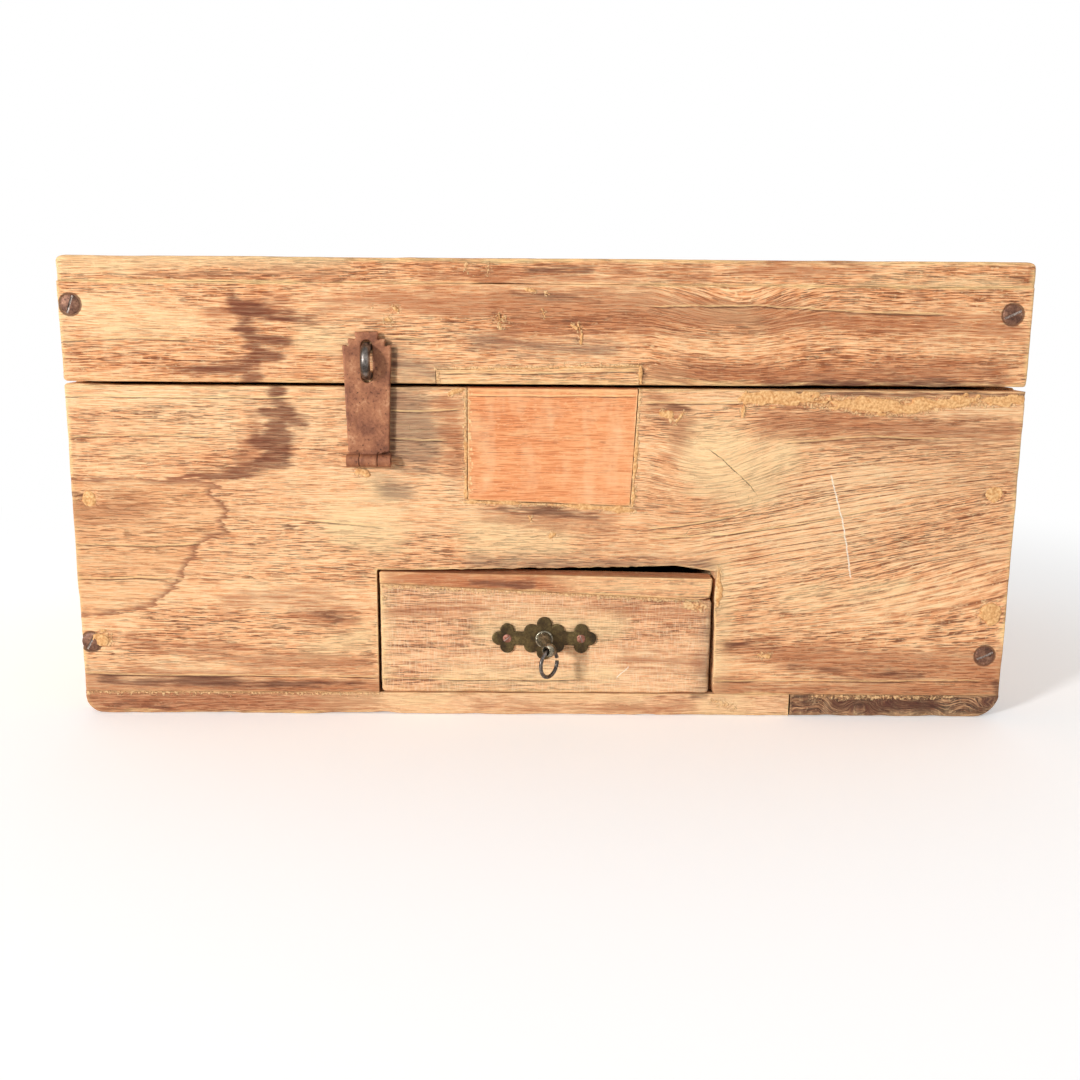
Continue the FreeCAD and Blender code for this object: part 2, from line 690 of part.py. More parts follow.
# Lid: two top planks nailed on a frame of rails, screwed at the corners
lid_spots = {"front": [], "back": []}
for side, height_share, inset_share in zip(outer, lid_screw_height_shares, lid_screw_inset_shares):
    height = "%s + lid_height * %s" % (lid_foot, height_share)
    lid_spots["front"].append(edge_spot(side, inset_share, front, height))
    lid_spots["back"].append(edge_spot(side, 1 / 2, back, height))
lid_front_holes = fasteners(
    "lid_front_screws", "case_screw", {"front": lid_spots["front"]}, "case_screw_set", (25, 70))
lid_back_holes = fasteners(
    "lid_back_screws", "case_screw", {"back": lid_spots["back"]}, "case_screw_set", (110, 20))
top_spots = []
for share in long_edge_nail_shares:
    for middle in ("%s + front_thickness / 2" % front, "%s - back_thickness / 2" % back):
        top_spots.append(("chest_width * %s" % share, middle, lid_head))
for share in short_edge_nail_shares:
    for middle in ("%s + side_thickness / 2" % left, "%s - side_thickness / 2" % right):
        top_spots.append((middle, "chest_depth * %s" % share, lid_head))
top_holes = fasteners("lid_top_nails", "board_nail", {"up": top_spots}, "board_nail_set")

rail_span = (lid_foot, rail_head)
top_span = (rail_head, lid_head)
board("lid_front_rail", (left, right), (front, front_inside), rail_span,
      [strip_recess] + staple_holes + lid_front_holes + top_holes)
board("lid_back_rail", (left, right), (back_inside, back), rail_span,
      lid_back_holes + hinge_holes["lid"] + top_holes)
for side, span in (("left", (left, left_inside)), ("right", (right_inside, right))):
    board("lid_%s_rail" % side, span, (front_inside, back_inside), rail_span,
          lid_front_holes + lid_back_holes + top_holes)
board("lid_top_front_plank", (left, right), (front, "lid_top_joint_place - lid_top_joint_gap / 2"), top_span, top_holes)
board("lid_top_back_plank", (left, right), ("lid_top_joint_place + lid_top_joint_gap / 2", back), top_span, top_holes)

# Drawer: a rabbeted front with a wedge of lipping on it, two sides, a back and a bottom that it runs on
drawer_foot = "(bottom_thickness + drawer_run_gap)"
drawer_floor_head = "(%s + drawer_floor)" % drawer_foot
drawer_wall_head = "(%s + drawer_wall_height)" % drawer_floor_head
drawer_end = "(%s - drawer_back_gap)" % back_inside
drawer_head_left = "(%s - drawer_top_gap)" % opening_head
drawer_head_right = "(%s - drawer_top_fall)" % drawer_head_left
lipping_foot_left = "(%s - lipping_left_height)" % drawer_head_left
lipping_foot_right = "(%s - lipping_right_height)" % drawer_head_right
rabbet_face = "(%s + drawer_lip)" % front
drawer_front_back = "(%s + drawer_front_thickness)" % front
drawer_wall_spans = {
    "left": (drawer_left, "(%s + drawer_wall)" % drawer_left),
    "right": ("(%s - drawer_wall)" % drawer_right, drawer_right),
}
wall_levels = (drawer_floor_head, drawer_wall_head)
drawer_spots = {"left": [], "right": [], "down": []}
for side, face in (("left", drawer_left), ("right", drawer_right)):
    for share in wall_nail_height_shares:
        level = "%s + drawer_wall_height * %s" % (drawer_floor_head, share)
        drawer_spots[side].append((face, "(%s + %s) / 2" % (rabbet_face, drawer_front_back), level))
        drawer_spots[side].append((face, "%s - drawer_wall / 2" % drawer_end, level))
    for share in short_edge_nail_shares:
        middle = "(%s + %s) / 2" % drawer_wall_spans[side]
        drawer_spots["down"].append((middle, "chest_depth * %s" % share, drawer_foot))
drawer_holes = fasteners("drawer_nails", "fine_nail", drawer_spots, "fine_nail_set")

# Drawer pull: a lobed brass plate, a post riveted through the front, and a wire ring in its eye
pull_x = "(drawer_offset + pull_shift)"
pull_z = "(%s + pull_rise)" % drawer_foot
plate_face = "(%s - plate_thickness)" % front
pull_spots = []
for sign in ("-", "+"):
    pull_spots.append(("%s %s plate_hole_place" % (pull_x, sign), plate_face, pull_z))
pull_holes = fasteners("pull_screws", "pull_screw", {"front": pull_spots}, "0", (40, 75))


def lobe(name, radius, centre, reach, angle):
    along = "%s + %s * %.6f" % (centre, reach, math.cos(math.radians(angle)))
    up = "%s + %s * %.6f" % (pull_z, reach, math.sin(math.radians(angle)))
    return cylinder(name, radius, "plate_thickness", (along, plate_face, up), backwards)


lobe_angles = [30 + 60 * step for step in range(6)]
plate_pieces = [
    lobe("plate_disc", "plate_centre_lobe_reach", pull_x, "0", 0),
    box("plate_arms", ("%s - plate_hole_place" % pull_x, "%s + plate_hole_place" % pull_x), (plate_face, front),
        ("%s - plate_arm_half" % pull_z, "%s + plate_arm_half" % pull_z)),
]
for angle in lobe_angles:
    plate_pieces.append(lobe("plate_lobe_%d" % angle, "plate_centre_lobe_radius", pull_x,
                             "plate_centre_lobe_reach", angle))
for name, sign, angles in (("left", "-", (90, 180, 270)), ("right", "+", (90, 0, 270))):
    centre = "%s %s plate_hole_place" % (pull_x, sign)
    plate_pieces.append(lobe("plate_%s_disc" % name, "plate_end_lobe_reach", centre, "0", 0))
    for angle in angles:
        plate_pieces.append(lobe("plate_%s_lobe_%d" % (name, angle), "plate_end_lobe_radius", centre,
                                 "plate_end_lobe_reach", angle))
tail_hole = cylinder("tail_hole", "post_tail_radius + post_tail_gap",
                     "plate_thickness + drawer_front_thickness + rove_thickness + 2 * cut_overrun",
                     (pull_x, "%s - cut_overrun" % plate_face, pull_z), backwards)
keep(cut("pull_plate_cut", fuse("pull_plate_fused", plate_pieces), pull_holes + [tail_hole]), "pull_plate")

rove_face = "(%s + rove_thickness)" % drawer_front_back
rove_disc = cylinder("rove_disc", "rove_radius", "rove_thickness", (pull_x, drawer_front_back, pull_z), backwards)
keep(cut("pull_rove_cut", rove_disc, [tail_hole]), "pull_rove")

collar_face = "(%s - post_collar_height)" % plate_face
eye_spot = ("%s + post_shift" % pull_x, "%s - post_reach" % collar_face, "%s - post_drop" % pull_z)
post_line = FreeCAD.Vector(sheet_value("post_shift"), sheet_value("-post_reach"), sheet_value("-post_drop"))
turn_angle = math.radians(sheet_value("ring_turn"))
eye_line = FreeCAD.Vector(math.cos(turn_angle), math.sin(turn_angle), 0)
eye_turn = FreeCAD.Rotation(upright, eye_line)
eye_ball = doc.addObject("Part::Sphere", "post_eye")
bind(eye_ball, "Radius", "post_eye_radius")
place(eye_ball, eye_spot)
post_pieces = [
    cylinder("post_collar", "post_collar_radius", "post_collar_height", (pull_x, collar_face, pull_z), backwards),
    cone("post_neck", "post_foot_radius", "post_neck_radius", "sqrt(post_shift^2 + post_reach^2 + post_drop^2)",
         (pull_x, collar_face, pull_z), FreeCAD.Rotation(upright, post_line)),
    eye_ball,
    cylinder("post_tail", "post_tail_radius", "%s - (%s) + post_peen_height" % (rove_face, plate_face),
             (pull_x, plate_face, pull_z), backwards),
    cylinder("post_peen", "post_peen_radius", "post_peen_height", (pull_x, rove_face, pull_z), backwards),
]
# The eye's hole flares both ways so that the round wire can swing in it
eye_hole_pieces = []
for name, way in (("near", -1), ("far", 1)):
    line = eye_line * way
    start = ["%s + post_flare_start * %.6f" % (text, step) for text, step in zip(eye_spot, line)]
    turn = FreeCAD.Rotation(upright, line)
    eye_hole_pieces.append(cylinder("eye_hole_" + name, "post_hole_radius", "post_eye_radius", eye_spot, turn))
    eye_hole_pieces.append(cone("eye_flare_" + name, "post_hole_radius", "post_flare_radius",
                                "post_flare_length", start, turn))
keep(cut("pull_post_cut", fuse("pull_post_fused", post_pieces), [fuse("eye_hole", eye_hole_pieces)]), "pull_post")

ring_spot = (eye_spot[0], eye_spot[1], "%s - ring_radius - ring_slack" % eye_spot[2])
ring_face = FreeCAD.Vector(math.sin(turn_angle), -math.cos(turn_angle), 0)
keep(torus("pull_ring_wire", "ring_radius", "ring_wire_radius", 360, ring_spot,
           FreeCAD.Rotation(upright, ring_face)), "pull_ring")

# Drawer boards
front_outline = [
    (drawer_left, drawer_foot),
    (drawer_right, drawer_foot),
    (drawer_right, lipping_foot_right),
    (drawer_left, lipping_foot_left),
]
lipping_outline = [
    (drawer_left, lipping_foot_left),
    (drawer_right, lipping_foot_right),
    (drawer_right, drawer_head_right),
    (drawer_left, drawer_head_left),
]
rabbets = []
for side, (low, high) in drawer_wall_spans.items():
    span = ("%s - cut_overrun" % low, high) if side == "left" else (low, "%s + cut_overrun" % high)
    rabbets.append(box("rabbet_" + side, span, (rabbet_face, "%s + cut_overrun" % drawer_front_back), wall_levels))
front_blank = plate("drawer_front_blank", front_outline, front, "drawer_front_thickness")
keep(cut("drawer_front_cut", front_blank, rabbets + drawer_holes + pull_holes + [tail_hole]), "drawer_front")
keep(plate("drawer_lipping_blank", lipping_outline, front, "drawer_front_thickness"), "drawer_lipping")
for side, span in drawer_wall_spans.items():
    board("drawer_%s_side" % side, span, (rabbet_face, drawer_end), wall_levels, drawer_holes)
board("drawer_back", (drawer_wall_spans["left"][1], drawer_wall_spans["right"][0]),
      ("%s - drawer_wall" % drawer_end, drawer_end), wall_levels, drawer_holes)
board("drawer_bottom", (drawer_left, drawer_right), (drawer_front_back, drawer_end),
      (drawer_foot, drawer_floor_head), drawer_holes)

# Every object has to be sound before anything is written
doc.recompute()
for thing in doc.Objects:
    if "Invalid" in thing.State or "Error" in thing.State:
        raise RuntimeError("%s failed: %s" % (thing.Name, thing.State))
for thing in sub_parts:
    if thing.Shape.isNull() or not thing.Shape.isValid() or not thing.Shape.Solids:
        raise RuntimeError("%s has no sound solid" % thing.Label)

os.makedirs("parts", exist_ok=True)
for thing in sub_parts:
    thing.Shape.exportStep("parts/%s.step" % thing.Label)
    print(thing.Label, len(thing.Shape.Solids), "solids", round(thing.Shape.Volume), "mm3")
print(len(sub_parts), "sub-parts")
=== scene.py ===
import functools
import itertools
import json
import math
import re

import bpy
import numpy as np
from mathutils import Matrix, Vector


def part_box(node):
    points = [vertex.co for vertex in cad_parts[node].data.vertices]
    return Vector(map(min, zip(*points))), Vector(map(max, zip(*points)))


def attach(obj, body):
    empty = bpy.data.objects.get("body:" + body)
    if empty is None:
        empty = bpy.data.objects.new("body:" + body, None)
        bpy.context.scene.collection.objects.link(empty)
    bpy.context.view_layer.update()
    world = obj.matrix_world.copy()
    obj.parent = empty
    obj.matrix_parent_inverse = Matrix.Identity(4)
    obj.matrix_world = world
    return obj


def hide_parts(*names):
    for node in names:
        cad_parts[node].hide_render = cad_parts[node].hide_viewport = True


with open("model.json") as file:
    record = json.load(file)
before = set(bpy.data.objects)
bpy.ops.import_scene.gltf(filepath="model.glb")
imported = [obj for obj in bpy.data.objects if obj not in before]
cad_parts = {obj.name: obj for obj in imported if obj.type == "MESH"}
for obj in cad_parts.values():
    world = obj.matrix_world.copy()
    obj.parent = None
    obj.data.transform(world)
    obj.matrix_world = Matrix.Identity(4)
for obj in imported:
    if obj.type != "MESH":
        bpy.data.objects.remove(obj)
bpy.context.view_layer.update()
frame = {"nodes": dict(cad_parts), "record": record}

mm = 0.001
far = -60.0  # mm outside a mark, for boards that don't carry it
probe = 0.04  # mm, step that measures the slope of a distance
bodies = frame["record"]["behaviour"]["bodies"]
bodyOf = {name: body for body, members in bodies.items() for name in members}
slotOf = {row["node"]: row["material_slot"] for row in frame["record"]["subparts"]}
print("frame loaded:", len(frame["nodes"]), "nodes")


# Carving tools: a solid is cut from a grid of cells and its skin is pulled onto a signed distance, all in mm
def nodeBox(name):
    low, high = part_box(name)
    return np.array(low) / mm, np.array(high) / mm


def risen(value, start, full):
    # 0 up to start, 1 from full on, even between; full may be the lower of the two
    return np.clip((value - start) / (full - start), 0, 1)


def near(value, place, reach):
    return np.clip(1 - np.abs(value - place) / reach, 0, 1)


def mound(x, z, place, reach):
    return np.exp(-(((x - place[0]) / reach[0]) ** 2 + ((z - place[1]) / reach[1]) ** 2))


def noise(points, size, seed):
    # smooth lumps of one size (a number, or one per axis), from -1 to 1
    place = np.asarray(points) / size
    cell = np.floor(place).astype(np.int64)
    part = place - cell
    part = part * part * (3 - 2 * part)
    total = np.zeros(len(place))
    for corner in itertools.product((0, 1), repeat=3):
        key = cell + corner
        mixed = key[:, 0] * 73856093 ^ key[:, 1] * 19349663 ^ key[:, 2] * 83492791 ^ (seed + 7) * 265443577
        mixed = (mixed ^ (mixed >> 13)) * 1274126177 & 0x7FFFFFFF
        mixed = (mixed ^ (mixed >> 11)) * 668265263 & 0x7FFFFFFF
        weight = np.prod(np.where(corner, part, 1 - part), axis=1)
        total += weight * (mixed / 0x3FFFFFFF - 1)
    return total


def lumpy(points, size, seed):
    return 0.5 + 0.5 * noise(points, size, seed)


def pocks(points, size, seed, start=0.0):
    # only what rises above start
    return np.maximum(noise(points, size, seed) - start, 0)


def gridLines(stops, step, rim=(0.5, 1.1, 1.9, 2.9, 4.2, 6)):
    # cutting lines along one axis: close together beside every stop, a step apart between
    lines = []
    for low, high in zip(stops, stops[1:]):
        close = [gap for gap in rim if gap < (high - low) / 3]
        start, end = low + max(close, default=0), high - max(close, default=0)
        lines += [low, high, *(low + gap for gap in close), *(high - gap for gap in close)]
        lines += list(np.linspace(start, end, max(2, round((end - start) / step) + 1)))
    return np.unique(np.round(lines, 4))


def cellLines(low, high, steps, under=(0.4, 0.4, 0.4), over=(0.9, 0.9, 0.9)):
    # even cutting lines through a box that reaches a little past a small piece
    return [np.arange(low[axis] - under[axis], high[axis] + over[axis], steps[axis]) for axis in range(3)]


def roundOff(sides, radius):
    # joins half spaces into one solid with its edges rounded
    stack = np.stack(sides) + radius
    return np.minimum(stack.max(0), 0) + np.sqrt((np.maximum(stack, 0) ** 2).sum(0)) - radius


def carve(lines, distance, pulls=4, relaxings=0, spare=0.0):
    # a cell counts as solid up to spare mm outside, so that shallow hollows leave no steps
    middles = [(axis[1:] + axis[:-1]) / 2 for axis in lines]
    cells = np.stack(np.meshgrid(*middles, indexing="ij"), -1)
    solid = np.zeros([count + 2 for count in cells.shape[:3]], bool)
    solid[1:-1, 1:-1, 1:-1] = (distance(cells.reshape(-1, 3)) < spare).reshape(cells.shape[:3])
    faces = []
    for axis in range(3):
        turned = np.moveaxis(solid, axis, 0)
        change = np.argwhere(turned[1:] != turned[:-1])
        below = turned[:-1][tuple(change.T)]
        first, second = [other for other in range(3) if other != axis]
        corners = np.zeros((len(change), 4, 3), int)
        for number, (one, two) in enumerate(((0, 0), (1, 0), (1, 1), (0, 1))):
            corners[:, number, axis] = change[:, 0]
            corners[:, number, first] = change[:, 1] - 1 + one
            corners[:, number, second] = change[:, 2] - 1 + two
        backward = below == (axis == 1)
        corners[backward] = corners[backward][:, ::-1]
        faces.append(corners)
    faces = np.concatenate(faces)
    counts = [len(axis) for axis in lines]
    keys = (faces[..., 0] * counts[1] + faces[..., 1]) * counts[2] + faces[..., 2]
    used, faces = np.unique(keys, return_inverse=True)
    faces = faces.reshape(-1, 4)
    spots = np.stack([used // (counts[1] * counts[2]), used // counts[2] % counts[1], used % counts[2]], 1)
    points = np.stack([lines[axis][spots[:, axis]] for axis in range(3)], 1).astype(float)
    edges = np.concatenate([faces[:, [one, (one + 1) % 4]] for one in range(4)])
    for turn in range(pulls + relaxings):
        if turn < relaxings:
            middle = np.zeros_like(points)
            share = np.zeros(len(points))
            np.add.at(middle, edges[:, 0], points[edges[:, 1]])
            np.add.at(share, edges[:, 0], 1)
            points += (middle / share[:, None] - points) * 0.5
        value = distance(points)
        slope = np.stack([(distance(points + step) - value) / probe for step in np.eye(3) * probe], 1)
        points -= (value / np.maximum((slope ** 2).sum(1), 0.25))[:, None] * slope
    return points, faces


def joinLumps(lumps):
    starts = np.cumsum([0] + [len(points) for points, faces in lumps])
    faces = [faces + start for (points, faces), start in zip(lumps, starts)]
    return np.concatenate([points for points, faces in lumps]), np.concatenate(faces)


def placePiece(name, mesh, nodes, body=None, slot=None):
    # a piece that stands for CAD nodes takes the body of the first, and those nodes are hidden
    piece = bpy.data.objects.new(name, mesh)
    bpy.context.scene.collection.objects.link(piece)
    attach(piece, body or bodyOf[nodes[0]])
    slot or slotOf[nodes[0]]
    if nodes:
        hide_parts(*nodes)


def makePiece(name, skin, material, nodes, marks=None, **place):
    points, faces = skin
    mesh = bpy.data.meshes.new(name)
    mesh.from_pydata((points * mm).tolist(), [], faces.tolist())
    for key, values in (marks or {}).items():
        mesh.attributes.new(key, "FLOAT", "POINT").data.foreach_set("value", np.asarray(values, np.float32))
    mesh.materials.append(material)
    mesh.shade_smooth()
    placePiece(name, mesh, nodes, **place)


# Marks on a face: strokes of (x, z, half width) in mm; the result is how deep a point lies inside
def segmentGap(x, z, start, end):
    # how far along a straight line the nearest point lies, from 0 to 1, and how far off it is
    (x0, z0), (x1, z1) = start, end
    run = max((x1 - x0) ** 2 + (z1 - z0) ** 2, 1e-6)
    along = np.clip(((x - x0) * (x1 - x0) + (z - z0) * (z1 - z0)) / run, 0, 1)
    return along, np.hypot(x - x0 - along * (x1 - x0), z - z0 - along * (z1 - z0))


def strokeDepth(x, z, strokes):
    depth = np.full(len(x), far)
    for stroke in strokes:
        spots = stroke if len(stroke) > 1 else stroke * 2
        for (*start, startHalf), (*end, endHalf) in zip(spots, spots[1:]):
            along, gap = segmentGap(x, z, start, end)
            depth = np.maximum(depth, startHalf + along * (endHalf - startHalf) - gap)
    return depth


def outlineDepth(x, z, outline):
    nearest = np.full(len(x), np.inf)
    inside = np.zeros(len(x), bool)
    for start, end in zip(outline, outline[1:] + outline[:1]):
        nearest = np.minimum(nearest, segmentGap(x, z, start, end)[1])
        (x0, z0), (x1, z1) = start, end
        inside ^= ((z0 > z) != (z1 > z)) & (x < (x1 - x0) * (z - z0) / ((z1 - z0) or 1e-9) + x0)
    return np.where(inside, nearest, -nearest)


def crackSide(x, z, cracks):
    # signed height over the nearest crack, sharp between points, and how far inside its two ends a point is
    side = np.full(len(x), -far)
    span = np.full(len(x), far)
    nearest = np.full(len(x), -far)
    for crack in cracks:
        runX, runZ = np.array(crack, float).T
        height = z - np.interp(x, runX, runZ)
        inside = np.minimum(x - runX[0], runX[-1] - x)
        reach = np.abs(height) + np.maximum(-inside, 0) * 1.5
        nearer = reach < nearest
        for store, values in ((side, height), (span, inside), (nearest, reach)):
            store[nearer] = values[nearer]
    return side, span


# Materials
def linear(code):
    parts = [int(code[place:place + 2], 16) / 255 for place in (1, 3, 5)]
    return tuple(c / 12.92 if c <= 0.04045 else ((c + 0.055) / 1.055) ** 2.4 for c in parts) + (1,)


def join(tree, made, links):
    # each input takes another node's output or a plain value
    for key, value in links.items():
        if isinstance(value, bpy.types.Node):
            value = value.outputs[0]
        if isinstance(value, bpy.types.NodeSocket):
            tree.links.new(value, made.inputs[key])
        else:
            made.inputs[key].default_value = value


def node(tree, kind, links=None, **settings):
    made = tree.nodes.new(kind)
    for key, value in settings.items():
        setattr(made, key, value)
    join(tree, made, links or {})
    return made


def newMaterial(name):
    material = bpy.data.materials.new(name)
    material.use_nodes = True
    tree = material.node_tree
    tree.nodes.clear()
    shader = node(tree, "ShaderNodeBsdfPrincipled")
    node(tree, "ShaderNodeOutputMaterial", {"Surface": shader})
    return material, tree, shader


def shaderTools(tree):
    # the nodes used most, each as a function that gives its output
    def calc(operation, *values, clamp=False):
        links = dict(enumerate(values))
        return node(tree, "ShaderNodeMath", links, operation=operation, use_clamp=clamp).outputs[0]

    def chain(operation, *values):
        return functools.reduce(lambda one, two: calc(operation, one, two), values)

    def fade(value, start, end, least=0.0, most=1.0, kind="LINEAR"):
        links = {0: value, 1: start, 2: end, 3: least, 4: most}
        return node(tree, "ShaderNodeMapRange", links, interpolation_type=kind).outputs[0]

    def lumps(spot, size, detail, roughness=0.5):
        links = {"Vector": spot, "Scale": 1 / (size * mm), "Detail": detail, "Roughness": roughness}
        return node(tree, "ShaderNodeTexNoise", links).outputs["Fac"]

    def tint(value, stops):
        made = node(tree, "ShaderNodeValToRGB", {0: value})
        for place, code in stops[2:]:
            made.color_ramp.elements.new(place)
        for element, (place, code) in zip(made.color_ramp.elements, stops):
            element.position = place
            element.color = linear(code)
        return made.outputs["Color"]

    def blend(share, under, over):
        over = linear(over) if isinstance(over, str) else over
        return node(tree, "ShaderNodeMix", {0: share, 6: under, 7: over}, data_type="RGBA").outputs[2]

    return calc, chain, fade, lumps, tint, blend


# Reclaimed teak, sanded bare: pale tan fibre, redder streaks, dark pores, ring lines, water marks and putty
teakLook = {
    "stops": ((0.27, "#ffd8a6"), (0.47, "#fbc18c"), (0.63, "#eaa470"), (0.81, "#b36b40")), "contrast": 1.22,
    # patterns: size across the grain in mm, how many times longer they are along it, levels of detail
    "fibre": (0.55, 22, 2), "streak": (1.15, 38, 4), "broad": (15, 11, 1.4), "blotch": (44, 2.6, 1),
    "finger": (2.8, 8, 4), "pore": (0.5, 20, 1), "grit": (1.2, 2.4, 2), "smear": (14, 0.3, 3),
    "grainRoughness": 0.6, "ringGap": 4.2, "ringWander": 1.6, "ringBase": 0.16, "poreShare": 0.57,
    "poreSoft": 0.07, "poreStrength": 0.88, "edgeReach": 3.4, "edgeFull": 0.4, "edgeShare": 0.72,
    "smearShare": 0.16, "ringColour": "#9c5f3a", "poreColour": "#733f24", "edgeColour": "#ffd897",
    "smearColour": "#ffdcae", "gritColour": "#fbd9a4", "tideColour": "#96593a", "crackColour": "#5c3622",
    "scratchColour": "#fff4e2", "crumbSize": 1.3, "crumbDrag": 10,
    "crust": ((0.30, "#a66b3c"), (0.46, "#dea067"), (0.62, "#f9ce96")), "lip": 0.9, "roughness": 0.84,
    "dull": 0.06, "shiny": 0.08, "bump": 0.8, "relief": 0.8, "seed": 0.0,
}
teakTones = {"blotch": 0.30, "broad": 0.34, "streak": 0.32, "crisp": 0.32}  # shares in the colour
# where a layer fades in: from and to, in mm or in a pattern's value, then its least and greatest strength
teakBands = {
    "crisp": (0.36, 0.64), "ringLine": (0.70, 0.97), "ringBreak": (0.36, 0.62),
    "ringDash": (0.2, 0.8, 0.25, 1), "poreField": (0.38, 0.60, 0.22, 1), "edgeWorn": (0.36, 0.58, 0.3, 1),
    "smear": (0.46, 0.72), "grit": (0.57, 0.68, 0, 0.5), "markWorn": (0.2, 0.6, 0.55, 1),
    "tideRise": (-0.8, 0.4), "tideFall": (4.2, 0.4, 0, 0.85), "crackLine": (0.5, 0.1, 0, 0.78),
    "crackBreak": (0.40, 0.54, 0.35, 1), "crackEnd": (-1, 3), "lipLine": (0.55, 0.15, 0, 0.55),
    "screwShadeLine": (1.0, 0.4, 0, 0.85), "putty": (-0.5, 0.7, 0, 0.92), "scratchLine": (0.6, 0.25, 0),
    "scratchWorn": (0.36, 0.56, 0.3, 0.95), "scratchEnd": (-1, 1), "gloss": (0.3, 0.7),
}
teakDrags = {"edgeGap": 9, "tide": 16, "crack": 2.6, "scratch": 1.8}  # mm over which the grain spreads a line
teakRelief = {  # shares in the height
    "fibre": 0.9, "streak": 0.35, "pore": -0.6, "crack": -1.0, "grit": 0.3, "ring": -0.4, "crumbs": 1.6,
}
# mark: (attribute, colour, strength, soft edge mm, mm over which the grain spreads that edge)
teakMarks = (
    ("pale", "#ffdda6", 0.62, 8, 28),
    ("grey", "#8f6f57", 0.8, 8, 28),
    ("red", "#aa643d", 0.72, 6, 32),
    ("tideInside", "#d5965f", 0.30, 5, 40),
    ("stain", "#6e341e", 0.9, 3.0, 18),
    # dark carries real dark marks and also the painted shadow of the hasp strap on the wood beside it
    ("dark", "#5a3021", 0.85, 2.2, 12),
)


